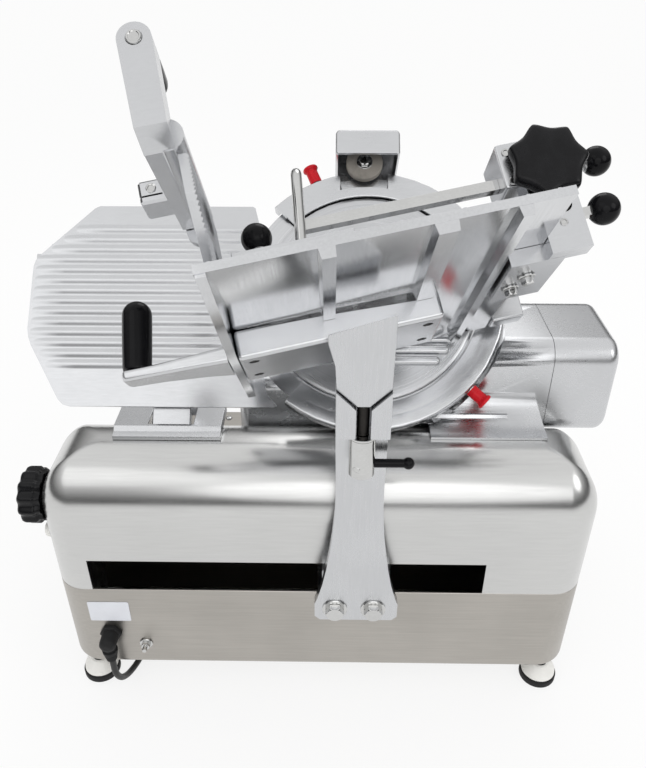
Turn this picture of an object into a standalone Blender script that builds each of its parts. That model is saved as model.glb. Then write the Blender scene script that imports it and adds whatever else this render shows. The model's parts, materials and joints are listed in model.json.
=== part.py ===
"""Gravity-feed deli meat slicer built from separate named pieces, in metres, +Z up."""
import math
import bpy
import bmesh
from mathutils import Matrix, Vector

# General clearances and sheet
GAP = 0.0003
SHEET = 0.0025

# Base
BASE_WIDTH = 0.636
BASE_DEPTH = 0.370
BASE_CORNER = 0.040
FOOT_HEIGHT = 0.0465
FOOT_RADIUS = 0.0235
FOOT_INSET = 0.026
PAN_HEIGHT = 0.135
PAN_EDGE = 0.008
DECK_SHEET = 0.003
COVER_HEIGHT = 0.1725
COVER_DEPTH = 0.140
COVER_NOSE = 0.0645
SLOT_LEFT = -0.269
SLOT_RIGHT = 0.194
SLOT_HEIGHT = 0.0475

# Knife and its frame
KNIFE_RADIUS = 0.150
KNIFE_X = 0.0566
KNIFE_Y = 0.183
KNIFE_Z = 0.479
FEED_SLOPE = math.radians(45.0)
RING_OUTER = 0.160
RING_INNER = 0.139
RING_FROM = math.radians(-127.0)
RING_TO = math.radians(135.0)
COVER_DISC_RADIUS = 0.125
TIE_RADIUS = 0.006
SHAFT_RADIUS = 0.014

# Worm drive
WHEEL_TEETH = 30
WHEEL_PITCH_RADIUS = 0.048
WORM_RADIUS = 0.0135
WHEEL_LEVEL = -0.054
MOTOR_SHAFT_RADIUS = 0.006
BARREL_LEFT = 0.222
BARREL_RIGHT = 0.268
CAP_LENGTH = 0.084
BARREL_DEPTH = 0.152
BARREL_HEIGHT = 0.0895
BARREL_EDGE = 0.038
BARREL_RISE = 0.005
BARREL_SHIFT = 0.004
BARREL_NOSE = 0.026

# Pedestal casting
PEDESTAL_LEFT = -0.100
PEDESTAL_BACK = 0.310
PEDESTAL_TOP = 0.385
PEDESTAL_WALL = 0.010
PEDESTAL_FOOT_LEFT = 0.090
PEDESTAL_FOOT_FRONT = 0.100
PEDESTAL_FOOT_DROP = 0.017

# Gauge plate and index
GAUGE_LEFT = -0.402
GAUGE_TOP = 0.117
GAUGE_BOTTOM = -0.132
GAUGE_ARC = 0.1555
GAUGE_SHEET = 0.004
RIB_HEIGHT = 0.003
RIB_PITCH = 0.013
RIB_COUNT = 14
INDEX_U = -0.2305
INDEX_N = -0.0453
CAM_LARGE = 0.024
CAM_STROKE = 0.015
CAM_TURN = math.radians(300.0)
FOLLOWER_RADIUS = 0.004
INDEX_KNOB_RADIUS = 0.034
INDEX_KNOB_LOBES = 12
INDEX_SHAFT_RADIUS = 0.006
BUTTON_RADIUS = 0.010
BUTTON_TRAVEL = 0.003

# Carriage
ARM_X = 0.0435
ARM_FRONT = -0.036
ARM_BACK = -0.024
ARM_LOW = 0.176
ARM_WAIST = 0.081
HEAD_RISE = 0.024
HEAD_HEIGHT = 0.051
HEAD_FRONT = -0.060
V_DEPTH = 0.0185
ARM_FOOT_HALF = 0.047
ARM_NECK_HALF = 0.0245
HEAD_HALF = 0.0255
LOCK_Y = -0.0492
LOCK_RADIUS = 0.006
COLLAR_RADIUS = 0.0128
COLLAR_HEIGHT = 0.048
ROD_RADIUS = 0.010
GUIDE_RADIUS = 0.006
ROD_Y = 0.060
ROD_Z = 0.205
GUIDE_Z = 0.112
ROD_HALF = 0.3045

# Product tray, in its own frame: t along the tray, w off its face, n outwards
TRAY_X = 0.1004
TRAY_U = -0.0489
TRAY_N = 0.0202
TRAY_TURN = math.radians(13.0)
TRAY_LEFT = -0.246
TRAY_RIGHT = 0.032
TRAY_LENGTH = 0.327
TRAY_SHEET = 0.006
TRAY_LIP = 0.0068
BEAM_LEFT = -0.2374
BEAM_RIGHT = -0.050
BEAM_BACK = 0.100
BEAM_FRONT = 0.184
BEAM_DROP = 0.028
HANDLE_END = -0.345
GRIP_T = -0.325
GRIP_RADIUS = 0.0128
GRIP_LENGTH = 0.062
PRESS_T = -0.2455
PRESS_W = 0.1045
PRESS_ROD = 0.005
PRESS_TUBE = 0.013
PRESS_FRONT = 0.360
PRESS_PIN_T = -0.252
PRESS_PIN_W = 0.169
PRESS_BACK = 0.3345
PRESS_EYE = 0.0126
PRESS_HALF = 0.0116
PRESS_CREASE = -0.0055
PRESS_UNDER = 0.0117
CLAMP_LEFT = -0.0385
CLAMP_LOW = -0.0095
CLAMP_TOP = 0.0110
CLAMP_BACK = 0.232
CLAMP_FRONT = 0.262
FEED_T = 0.053
FEED_W = 0.026
FEED_RADIUS = 0.007
BAR_W = 0.075
BAR_N = 0.200
BAR_SIZE = 0.010
BAR_LEFT = -0.157
BAR_RIGHT = 0.085
LOOP_TOP = 0.117
LOOP_LEAN = 0.14
LOOP_ROD = 0.0048
STAR_T = 0.060
STAR_W = 0.075
STAR_RADIUS = 0.036
STAR_LOBES = 7
STAR_SCALLOP = 0.0062
STAR_FACE = 0.0225
SLIDER_LEFT = 0.022
SLIDER_RIGHT = 0.090
SLIDER_BACK = 0.030
SLIDER_FRONT = 0.021
SLIDER_LOW = 0.013
SLIDER_HIGH = 0.030
SLEEVE_HALF = 0.0155
SLEEVE_BACK = 0.015
SLEEVE_FRONT = 0.014
LEVER_RING = 0.0135
LEVER_THICK = 0.010
LEVER_REACH = 0.046
KNOB_W = 0.090
KNOB_N = 0.178
KNOB_REACH = 0.126
BRACKET_LEFT = 0.001
BRACKET_RIGHT = 0.048
BRACKET_BACK = 0.150
BRACKET_FRONT = 0.2380
BRACKET_DROP = 0.0145
EAR_BACK = 0.2325
EAR_FRONT = 0.250
EAR_RIGHT = 0.067
EAR_TOP = 0.036
ROD_FOOT_BACK = 0.010
ROD_FOOT_FRONT = 0.034
PUSHER_LEFT = -0.222
PUSHER_RIGHT = -0.118
PUSHER_TOP = 0.0462
PUSHER_FRONT = 0.043
FENCE_LEFT = -0.2405
FENCE_FACE = -0.2340
FENCE_TIP = -0.2322
FENCE_BACK = 0.197
FENCE_FRONT = 0.330
FENCE_TEETH = 26
BALL_RADIUS = 0.0125

# Sharpener
STONE_X = -0.005
STONE_U = 0.1655
STONE_RADIUS = 0.022
SHARPENER_HALF = 0.038
SHARPENER_LOW = 0.160
SHARPENER_TOP = 0.203

# Mains cord
CORD_RADIUS = 0.004
GLAND_X = -0.258
GLAND_Y = -0.016
GLAND_Z = 0.106
COIL_X = -0.060
COIL_Y = 0.470
COIL_MEAN = 0.044
PLUG_SHIFT = 0.028

# Derived levels
PAN_TOP = FOOT_HEIGHT + PAN_HEIGHT
COVER_LOW = PAN_TOP + GAP
COVER_TOP = COVER_LOW + COVER_HEIGHT
NOSE_LEVEL = COVER_TOP - COVER_NOSE
HALF_WIDTH = BASE_WIDTH / 2.0
LEAN = math.pi / 2.0 - FEED_SLOPE
CENTRE_DISTANCE = WHEEL_PITCH_RADIUS + WORM_RADIUS
MOTOR_RADIUS = BARREL_HEIGHT / 2.0 - BARREL_RISE - SHEET - GAP
PEDESTAL_RIGHT = BARREL_RIGHT - 0.004
HEAD_TOP = KNIFE_Z + HEAD_RISE
HEAD_LOW = HEAD_TOP - HEAD_HEIGHT
V_TIP = HEAD_TOP - V_DEPTH
COLLAR_LOW = HEAD_LOW - COLLAR_HEIGHT
ARM_NECK = HEAD_LOW - ARM_WAIST
FOLLOWER_N = INDEX_N + CAM_LARGE + FOLLOWER_RADIUS + GAP

# Looks: colour, roughness, metallic
STEEL = ((0.62, 0.60, 0.57), 0.34, 1.0)
SATIN = ((0.72, 0.71, 0.69), 0.26, 1.0)
ALLOY = ((0.76, 0.76, 0.77), 0.36, 1.0)
CHROME = ((0.82, 0.82, 0.83), 0.12, 1.0)
BLACK = ((0.02, 0.02, 0.022), 0.28, 0.0)
RUBBER = ((0.025, 0.025, 0.025), 0.7, 0.0)
RED = ((0.62, 0.02, 0.03), 0.3, 0.0)
WHITE = ((0.8, 0.8, 0.78), 0.4, 0.0)
GRIT = ((0.42, 0.40, 0.38), 0.9, 0.0)
BRONZE = ((0.55, 0.36, 0.16), 0.4, 1.0)


def clear_scene():
    for item in list(bpy.data.objects):
        bpy.data.objects.remove(item, do_unlink=True)


def empty(name, parent=None, matrix=None):
    item = bpy.data.objects.new(name, None)
    bpy.context.scene.collection.objects.link(item)
    item.parent = parent
    if matrix is not None:
        item.matrix_local = matrix
    return item


def at(x, y, z):
    return Matrix.Translation(Vector((x, y, z)))


def colour(item, look):
    material = bpy.data.materials.new(item.name)
    material.use_nodes = True
    shader = material.node_tree.nodes["Principled BSDF"]
    shader.inputs["Base Color"].default_value = (*look[0], 1.0)
    shader.inputs["Roughness"].default_value = look[1]
    shader.inputs["Metallic"].default_value = look[2]
    item.data.materials.append(material)


def add_rings(shape, loops, closed=False):
    rings = [[shape.verts.new(point) for point in loop] for loop in loops]
    pairs = list(zip(rings, rings[1:]))
    if closed:
        pairs.append((rings[-1], rings[0]))
    for low, high in pairs:
        count = len(low)
        for k in range(count):
            nxt = (k + 1) % count
            shape.faces.new((low[k], low[nxt], high[nxt], high[k]))
    if not closed:
        shape.faces.new(rings[0])
        shape.faces.new(rings[-1])


def finish(name, shape, parent, look):
    bmesh.ops.recalc_face_normals(shape, faces=shape.faces)
    mesh = bpy.data.meshes.new(name)
    shape.to_mesh(mesh)
    shape.free()
    for face in mesh.polygons:
        face.use_smooth = True
    mesh.set_sharp_from_angle(angle=math.radians(32.0))
    item = bpy.data.objects.new(name, mesh)
    bpy.context.scene.collection.objects.link(item)
    item.parent = parent
    if look is None:
        item.hide_render = True
        item.display_type = "WIRE"
    else:
        colour(item, look)
    return item


def skin(name, loops, parent, look=None, closed=False):
    shape = bmesh.new()
    add_rings(shape, loops, closed)
    return finish(name, shape, parent, look)


def spread(plane, a, b, h):
    if plane == "XY":
        return (a, b, h)
    if plane == "XZ":
        return (a, h, b)
    return (h, a, b)


def prism(name, outline, low, high, parent, look=None, plane="XY"):
    loops = [[spread(plane, a, b, h) for a, b in outline] for h in (low, high)]
    return skin(name, loops, parent, look)


def circle(radius, height, axis, centre, sides):
    loop = []
    for k in range(sides):
        angle = math.tau * k / sides
        plane = {"Z": "XY", "Y": "XZ", "X": "YZ"}[axis]
        spot = spread(plane, radius * math.cos(angle), radius * math.sin(angle), height)
        loop.append(tuple(p + c for p, c in zip(spot, centre)))
    return loop


def turned(name, profile, parent, look=None, axis="Z", centre=(0, 0, 0), sides=24, closed=False):
    loops = [circle(r, h, axis, centre, sides) for r, h in profile]
    return skin(name, loops, parent, look, closed)


def block(name, low, high, parent, look=None, bevel=0.0, segments=2):
    outline = [(low[0], low[1]), (high[0], low[1]), (high[0], high[1]), (low[0], high[1])]
    item = prism(name, outline, low[2], high[2], parent, look)
    if bevel > 0.0:
        change = item.modifiers.new("edges", "BEVEL")
        change.width = bevel
        change.segments = segments
        change.limit_method = "ANGLE"
        change.harden_normals = False
    return item


def rounded(half_a, half_b, radius, steps=5, centre=(0.0, 0.0)):
    signs = ((1, 1), (-1, 1), (-1, -1), (1, -1))
    points = []
    for quarter, (sign_a, sign_b) in enumerate(signs):
        for k in range(steps + 1):
            angle = math.pi / 2.0 * (quarter + k / steps)
            a = centre[0] + sign_a * (half_a - radius) + radius * math.cos(angle)
            b = centre[1] + sign_b * (half_b - radius) + radius * math.sin(angle)
            points.append((a, b))
    return points


def boolean(target, tool, operation):
    tool.hide_render = True
    tool.display_type = "WIRE"
    change = target.modifiers.new(tool.name, "BOOLEAN")
    change.operation = operation
    change.solver = "EXACT"
    change.object = tool


def cut(target, tool):
    boolean(target, tool, "DIFFERENCE")


def fuse(target, tool):
    boolean(target, tool, "UNION")


def swept_loops(path, radius, sides):
    loops = []
    side = None
    for k, spot in enumerate(path):
        before = path[max(k - 1, 0)]
        after = path[min(k + 1, len(path) - 1)]
        ahead = (Vector(after) - Vector(before)).normalized()
        if side is None:
            side = ahead.orthogonal().normalized()
        side = (side - ahead * side.dot(ahead)).normalized()
        other = ahead.cross(side)
        loop = []
        for j in range(sides):
            angle = math.tau * j / sides
            offset = side * math.cos(angle) * radius + other * math.sin(angle) * radius
            loop.append(tuple(Vector(spot) + offset))
        loops.append(loop)
    return loops


def knife_point(x, u, n):
    turn = Matrix.Rotation(LEAN, 3, "X")
    return Vector((KNIFE_X, KNIFE_Y, KNIFE_Z)) + turn @ Vector((x, u, n))


def shell_loops(half_x, half_y, centre_y, low, level, nose, corner, wall):
    loops = []
    steps = 5
    middle = (0.0, centre_y)
    for k in range(steps, -1, -1):
        angle = math.pi / 2.0 * k / steps
        inset = nose * (1.0 - math.cos(angle))
        radius = max(corner - inset, 0.006)
        z = level + nose * math.sin(angle)
        loops.append([(a, b, z) for a, b in rounded(half_x - inset, half_y - inset, radius, 4, middle)])
    loops.append([(a, b, low) for a, b in rounded(half_x, half_y, corner, 4, middle)])
    inner_x = half_x - wall
    inner_y = half_y - wall
    inner = corner - wall
    loops.append([(a, b, low) for a, b in rounded(inner_x, inner_y, inner, 4, middle)])
    for k in range(steps + 1):
        angle = math.pi / 2.0 * k / steps
        inset = (nose - wall) * (1.0 - math.cos(angle))
        radius = max(inner - inset, 0.005)
        z = level + (nose - wall) * math.sin(angle)
        loops.append([(a, b, z) for a, b in rounded(inner_x - inset, inner_y - inset, radius, 4, middle)])
    return loops


def build_base(machine, knife_frame):
    # Lower pan, open at the top
    middle = (0.0, BASE_DEPTH / 2.0)
    half_y = BASE_DEPTH / 2.0
    loops = []
    for inset, z in ((PAN_EDGE, FOOT_HEIGHT), (PAN_EDGE * 0.3, FOOT_HEIGHT + PAN_EDGE * 0.3),
                     (0.0, FOOT_HEIGHT + PAN_EDGE), (0.0, PAN_TOP)):
        radius = BASE_CORNER - inset
        loops.append([(a, b, z) for a, b in rounded(HALF_WIDTH - inset, half_y - inset, radius, 4, middle)])
    for inset, z in ((SHEET, PAN_TOP), (SHEET, FOOT_HEIGHT + PAN_EDGE), (PAN_EDGE + SHEET, FOOT_HEIGHT + SHEET)):
        radius = BASE_CORNER - inset
        loops.append([(a, b, z) for a, b in rounded(HALF_WIDTH - inset, half_y - inset, radius, 4, middle)])
    skin("base_pan", loops, machine, STEEL)

    # Front housing with the carriage slot
    loops = shell_loops(HALF_WIDTH, COVER_DEPTH / 2.0, COVER_DEPTH / 2.0, COVER_LOW, NOSE_LEVEL,
                        COVER_NOSE, BASE_CORNER, SHEET)
    cover = skin("front_cover", loops, machine, SATIN)
    slot = block("slot_cut", (SLOT_LEFT, -0.02, COVER_LOW - 0.02), (SLOT_RIGHT, 0.02, PAN_TOP + SLOT_HEIGHT), machine)
    cut(cover, slot)
    window = block("arm_window", (-0.253, -0.205, FOLLOWER_N - CAM_STROKE - 0.008),
                   (-0.202, -0.11, FOLLOWER_N + 0.008), knife_frame)
    cut(cover, window)
    index = knife_point(0.0, INDEX_U, INDEX_N)
    for name, y, z, radius in (("index_hole", index.y, index.z, INDEX_SHAFT_RADIUS + GAP),
                               ("start_hole", index.y - 0.006, index.z - 0.048, BUTTON_RADIUS - 0.0016),
                               ("stop_hole", index.y + 0.026, index.z - 0.048, BUTTON_RADIUS - 0.0016)):
        hole = turned(name, [(radius, -HALF_WIDTH - 0.01), (radius, -HALF_WIDTH + 0.02)], machine, None, "X", (0, y, z), 20)
        cut(cover, hole)

    # Low rear deck
    deck_half = (BASE_DEPTH - COVER_DEPTH - 2 * GAP) / 2.0
    deck_mid = BASE_DEPTH - deck_half
    outline = rounded(HALF_WIDTH, deck_half, BASE_CORNER, 5, (0.0, deck_mid))
    square = [(a, b if b > deck_mid else deck_mid - deck_half) for a, b in outline]
    points = []
    for a, b in square:
        if b < deck_mid:
            a = math.copysign(HALF_WIDTH, a)
        if not points or (abs(points[-1][0] - a) + abs(points[-1][1] - b)) > 1e-6:
            points.append((a, b))
    prism("rear_deck", points, PAN_TOP + GAP, PAN_TOP + GAP + DECK_SHEET, machine, STEEL)

    # Feet
    for name, x, y in (("foot_front_left", -HALF_WIDTH + FOOT_INSET, FOOT_INSET),
                       ("foot_front_right", HALF_WIDTH - FOOT_INSET, FOOT_INSET),
                       ("foot_rear_left", -HALF_WIDTH + FOOT_INSET, BASE_DEPTH - FOOT_INSET),
                       ("foot_rear_right", HALF_WIDTH - FOOT_INSET, BASE_DEPTH - FOOT_INSET)):
        profile = [(FOOT_RADIUS - 0.001, 0.0), (FOOT_RADIUS, 0.001), (FOOT_RADIUS, 0.009), (FOOT_RADIUS - 0.002, 0.011),
                   (FOOT_RADIUS - 0.003, 0.018), (0.013, 0.026), (0.009, 0.028), (0.009, FOOT_HEIGHT - GAP)]
        turned(name, profile, machine, RUBBER, "Z", (x, y, 0.0), 18)

    # Slide rods and their end blocks
    for name, z, radius in (("slide_rod", ROD_Z, ROD_RADIUS), ("guide_rod", GUIDE_Z, GUIDE_RADIUS)):
        turned(name, [(radius, -ROD_HALF), (radius, ROD_HALF)], machine, CHROME, "X", (0, ROD_Y, z), 20)
    for name, side in (("rod_block_left", -1.0), ("rod_block_right", 1.0)):
        x = side * (ROD_HALF - 0.0095)
        body = block(name, (x - 0.01, ROD_Y - 0.022, FOOT_HEIGHT + SHEET + GAP),
                     (x + 0.01, ROD_Y + 0.022, ROD_Z + 0.02), machine, ALLOY)
        for k, (z, radius) in enumerate(((ROD_Z, ROD_RADIUS), (GUIDE_Z, GUIDE_RADIUS))):
            r = radius + GAP
            hole = turned(name + "_bore_%d" % k, [(r, x - 0.02), (r, x + 0.02)], machine, None, "X", (0, ROD_Y, z), 20)
            cut(body, hole)

    # Cable gland, an elbow pointing down
    elbow = turned("cable_gland", [(0.013, -GAP), (0.013, -0.005), (0.0105, -0.007), (0.0105, -0.024), (0.008, -0.027)],
                   machine, BLACK, "Y", (GLAND_X, 0, GLAND_Z), 16)
    drop = turned("gland_drop", [(0.0075, GLAND_Z + 0.002), (0.0075, GLAND_Z - 0.018), (0.0092, GLAND_Z - 0.019),
                                 (0.0092, GLAND_Z - 0.027), (0.0065, GLAND_Z - 0.031)],
                  machine, None, "Z", (GLAND_X, GLAND_Y, 0), 16)
    fuse(elbow, drop)


def build_pedestal(machine, knife_frame):
    # Casting: column, foot on the cover, barrel, back disc, boss and drive neck
    deck_top = PAN_TOP + GAP + DECK_SHEET
    front = COVER_DEPTH + 0.003
    body = block("pedestal", (PEDESTAL_LEFT, front, deck_top + GAP), (PEDESTAL_RIGHT, PEDESTAL_BACK, PEDESTAL_TOP),
                 machine, ALLOY, PEDESTAL_WALL * 1.2, 3)
    foot = block("pedestal_foot", (PEDESTAL_FOOT_LEFT, PEDESTAL_FOOT_FRONT, COVER_TOP + GAP),
                 (PEDESTAL_RIGHT - 0.002, front + 0.027, PEDESTAL_TOP - PEDESTAL_FOOT_DROP), machine, None, 0.003, 1)
    fuse(body, foot)
    axis = knife_point(0.0, -CENTRE_DISTANCE, WHEEL_LEVEL)
    section = rounded(BARREL_DEPTH / 2.0, BARREL_HEIGHT / 2.0, BARREL_EDGE, 4,
                      (axis.y - BARREL_SHIFT, axis.z + BARREL_RISE))
    barrel = prism("barrel", section, BARREL_LEFT, BARREL_RIGHT, machine, None, "YZ")
    fuse(body, barrel)
    disc = turned("back_disc", [(0.1585, -0.042), (0.1585, -0.030)], knife_frame, None, "Z", (0, 0, 0), 40)
    trim = block("disc_trim", (-0.20, -0.20, -0.06), (-0.060, 0.20, 0.0), knife_frame)
    cut(disc, trim)
    under = block("disc_under", (-0.20, -0.20, -0.06), (0.20, -0.127, 0.0), knife_frame)
    cut(disc, under)
    fuse(body, disc)
    boss = turned("bearing_boss", [(0.062, -0.104), (0.074, -0.096), (0.074, -0.036)], knife_frame, None, "Z", (0, 0, 0), 28)
    fuse(body, boss)
    drop = (0.0, -CENTRE_DISTANCE, WHEEL_LEVEL)
    neck = turned("drive_neck", [(0.026, -0.05), (0.026, BARREL_LEFT - KNIFE_X + 0.01)], knife_frame, None, "X", drop, 24)
    fuse(body, neck)
    hollow = block("pedestal_hollow", (PEDESTAL_LEFT + PEDESTAL_WALL, front + PEDESTAL_WALL, PAN_TOP - 0.02),
                   (PEDESTAL_RIGHT - PEDESTAL_WALL, PEDESTAL_BACK - PEDESTAL_WALL, PEDESTAL_TOP - PEDESTAL_WALL * 5.0),
                   machine, None, PEDESTAL_WALL, 2)
    cut(body, hollow)
    cavity = turned("wheel_cavity", [(TIE_RADIUS + GAP, -0.12), (TIE_RADIUS + GAP, -0.098), (SHAFT_RADIUS + GAP, -0.098),
                                     (SHAFT_RADIUS + GAP, -0.068), (0.0565, -0.068), (0.0565, -0.0445),
                                     (0.0303, -0.0445), (0.0303, -0.02)], knife_frame, None, "Z", (0, 0, 0), 24)
    cut(body, cavity)
    bore = turned("worm_bore", [(WORM_RADIUS + 0.003, -0.036), (WORM_RADIUS + 0.003, BARREL_RIGHT - KNIFE_X + 0.01)],
                  knife_frame, None, "X", drop, 24)
    cut(body, bore)
    turned("knife_bearing", [(SHAFT_RADIUS + GAP, -0.0442), (0.030, -0.0442), (0.030, -0.0305), (SHAFT_RADIUS + GAP, -0.0305)],
           knife_frame, STEEL, "Z", (0, 0, 0), 24, True)

    # End cap over the motor, and the motor
    low = BARREL_RIGHT + GAP
    high = low + CAP_LENGTH
    nose = BARREL_NOSE
    middle = (axis.y - BARREL_SHIFT, axis.z + BARREL_RISE)
    loops = []
    for k in range(4, -1, -1):
        angle = math.pi / 2.0 * k / 4
        inset = nose * (1.0 - math.cos(angle))
        section = rounded(BARREL_DEPTH / 2.0 - inset, BARREL_HEIGHT / 2.0 - inset, BARREL_EDGE - inset, 4, middle)
        x = high - nose + nose * math.sin(angle)
        loops.append([(x, a, b) for a, b in section])
    section = rounded(BARREL_DEPTH / 2.0, BARREL_HEIGHT / 2.0, BARREL_EDGE, 4, middle)
    loops.append([(low, a, b) for a, b in section])
    section = rounded(BARREL_DEPTH / 2.0 - SHEET, BARREL_HEIGHT / 2.0 - SHEET, BARREL_EDGE - SHEET, 4, middle)
    loops.append([(low, a, b) for a, b in section])
    for k in range(4):
        angle = math.pi / 2.0 * k / 3
        inset = SHEET + (nose - SHEET) * (1.0 - math.cos(angle))
        section = rounded(BARREL_DEPTH / 2.0 - inset, BARREL_HEIGHT / 2.0 - inset, BARREL_EDGE - inset, 4, middle)
        x = high - nose + (nose - SHEET) * math.sin(angle)
        loops.append([(x, a, b) for a, b in section])
    skin("motor_end_cap", loops, machine, ALLOY)
    bore = MOTOR_SHAFT_RADIUS + GAP
    end = high - nose
    turned("blade_motor", [(bore, low), (MOTOR_RADIUS, low), (MOTOR_RADIUS, end - 0.006), (MOTOR_RADIUS - 0.008, end),
                           (bore, end)], machine, BLACK, "X", (0, axis.y, axis.z), 22, True)


def build_ring(knife_frame):
    # Open ring guard, an angle section swept round the knife edge
    steps = 36
    section = [(RING_INNER, 0.0030), (RING_OUTER - 0.0055, 0.0030), (RING_OUTER - 0.0055, -0.012), (RING_OUTER, -0.012),
               (RING_OUTER, 0.0035), (RING_OUTER - 0.0015, 0.0060), (RING_OUTER - 0.004, 0.0072), (RING_INNER + 0.004, 0.0066),
               (RING_INNER, 0.0050)]
    loops = []
    for k in range(steps + 1):
        angle = RING_FROM + (RING_TO - RING_FROM) * k / steps
        loops.append([(r * math.cos(angle), r * math.sin(angle), n) for r, n in section])
    ring = skin("ring_guard", loops, knife_frame, ALLOY)
    notch = block("ring_notch", (STONE_X - 0.029, 0.130, -0.0012), (STONE_X + 0.029, 0.18, 0.03), knife_frame)
    cut(ring, notch)
    for k, degrees in enumerate((62.0, 14.0, -32.0)):
        turn = Matrix.Rotation(math.radians(degrees), 4, "Z")
        foot = empty("ring_post_%d" % k, knife_frame, turn)
        post = block("ring_lug_%d" % k, (RING_OUTER - 0.0048, -0.008, -0.030 + GAP), (RING_OUTER - 0.0006, 0.008, -0.010), foot)
        fuse(ring, post)
    spots = (("red_knob_upper", 113.0), ("red_knob_lower", -42.9))
    for name, degrees in spots:
        turn = Matrix.Rotation(math.radians(degrees), 4, "Z")
        foot = empty(name + "_axis", knife_frame, turn)
        boss = turned(name + "_boss", [(0.0062, RING_OUTER - 0.004), (0.0062, RING_OUTER + 0.006)], foot, None, "X", (0, 0, -0.003), 16)
        fuse(ring, boss)
        hole = turned(name + "_hole", [(0.0033, RING_OUTER - 0.0005), (0.0033, RING_OUTER + 0.02)], foot, None, "X", (0, 0, -0.003), 14)
        cut(ring, hole)
        stem = RING_OUTER + 0.0002
        profile = [(0.003, stem), (0.003, stem + 0.0062), (0.0075, stem + 0.0064), (0.0085, stem + 0.010), (0.0115, stem + 0.017),
                   (0.0118, stem + 0.021), (0.009, stem + 0.0245), (0.004, stem + 0.026)]
        turned(name, profile, foot, RED, "X", (0, 0, -0.003), 16)


def tooth_outline(teeth, root, tip):
    points = []
    pitch = math.tau / teeth
    for k in range(teeth):
        start = pitch * k
        for share, radius in ((-0.30, root), (-0.18, tip), (0.18, tip), (0.30, root)):
            angle = start + pitch * share
            points.append((radius * math.cos(angle), radius * math.sin(angle)))
    return points


def build_knife(knife_frame, spin, worm):
    # Knife, hollow shaft and worm wheel turn together
    profile = [(0.030, -0.0055), (0.118, -0.0062), (0.1495, -0.0042), (KNIFE_RADIUS, -0.0034), (0.1285, -0.0008), (0.030, -0.0008)]
    turned("knife", profile, spin, CHROME, "Z", (0, 0, 0), 60, True)
    bore = TIE_RADIUS + GAP
    profile = [(bore, -0.096), (SHAFT_RADIUS, -0.096), (SHAFT_RADIUS, -0.016), (0.042, -0.012), (0.042, -0.0058),
               (0.0297, -0.0058), (0.0297, -0.0012), (bore, -0.0012)]
    turned("knife_shaft", profile, spin, STEEL, "Z", (0, 0, 0), 24, True)
    outline = tooth_outline(WHEEL_TEETH, WHEEL_PITCH_RADIUS - 0.0026, WHEEL_PITCH_RADIUS + 0.0022)
    wheel = prism("worm_wheel", outline, WHEEL_LEVEL - 0.007, WHEEL_LEVEL + 0.007, spin, BRONZE)
    hole = turned("wheel_hole", [(SHAFT_RADIUS + GAP, -0.08), (SHAFT_RADIUS + GAP, -0.03)], spin, None, "Z", (0, 0, 0), 24)
    cut(wheel, hole)

    # Motor shaft with a single-start worm
    core = WORM_RADIUS - 0.004
    length = BARREL_RIGHT - KNIFE_X + 0.050
    profile = [(core, -0.032), (core, 0.034), (MOTOR_SHAFT_RADIUS, 0.036), (MOTOR_SHAFT_RADIUS, length)]
    shaft = turned("motor_shaft", profile, worm, STEEL, "X", (0, 0, 0), 20)
    pitch = math.tau * WHEEL_PITCH_RADIUS / WHEEL_TEETH
    turns = 3
    steps = 12
    loops = []
    for k in range(turns * steps + 1):
        turn = k / steps
        angle = math.tau * turn - math.pi / 2.0
        x = pitch * (turn - turns / 2.0 + 0.25)
        loop = []
        for radius, shift in ((core - 0.001, -0.0022), (core - 0.001, 0.0022), (WORM_RADIUS + 0.001, 0.0011), (WORM_RADIUS + 0.001, -0.0011)):
            loop.append((x + shift, radius * math.cos(angle), radius * math.sin(angle)))
        loops.append(loop)
    thread = skin("worm_thread", loops, worm)
    fuse(shaft, thread)


def build_knife_cover(knife_frame):
    # Fixed cover disc on the tie rod that runs through the hollow shaft
    profile = [(TIE_RADIUS, -0.112), (TIE_RADIUS, 0.0012), (0.024, 0.0014), (0.118, 0.0014), (COVER_DISC_RADIUS, 0.0024),
               (COVER_DISC_RADIUS, 0.0042), (0.121, 0.0060), (0.100, 0.0066)]
    disc = turned("knife_cover", profile, knife_frame, ALLOY, "Z", (0, 0, 0), 48)
    shape = bmesh.new()
    for k in range(3):
        u = -0.052 - RIB_PITCH * k
        reach = math.sqrt(0.112 ** 2 - u ** 2)
        left = max(-reach, -0.010 + 0.012 * k)
        half = 0.0032
        loops = []
        for spread_half, n in ((half, 0.0050), (half, 0.0074), (half - 0.0012, 0.0086)):
            loops.append([(a, b, n) for a, b in rounded((reach - left) / 2.0 + spread_half, spread_half,
                                                       spread_half * 0.98, 3, ((reach + left) / 2.0, u))])
        add_rings(shape, loops)
    ribs = finish("cover_ribs", shape, knife_frame, None)
    fuse(disc, ribs)


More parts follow.
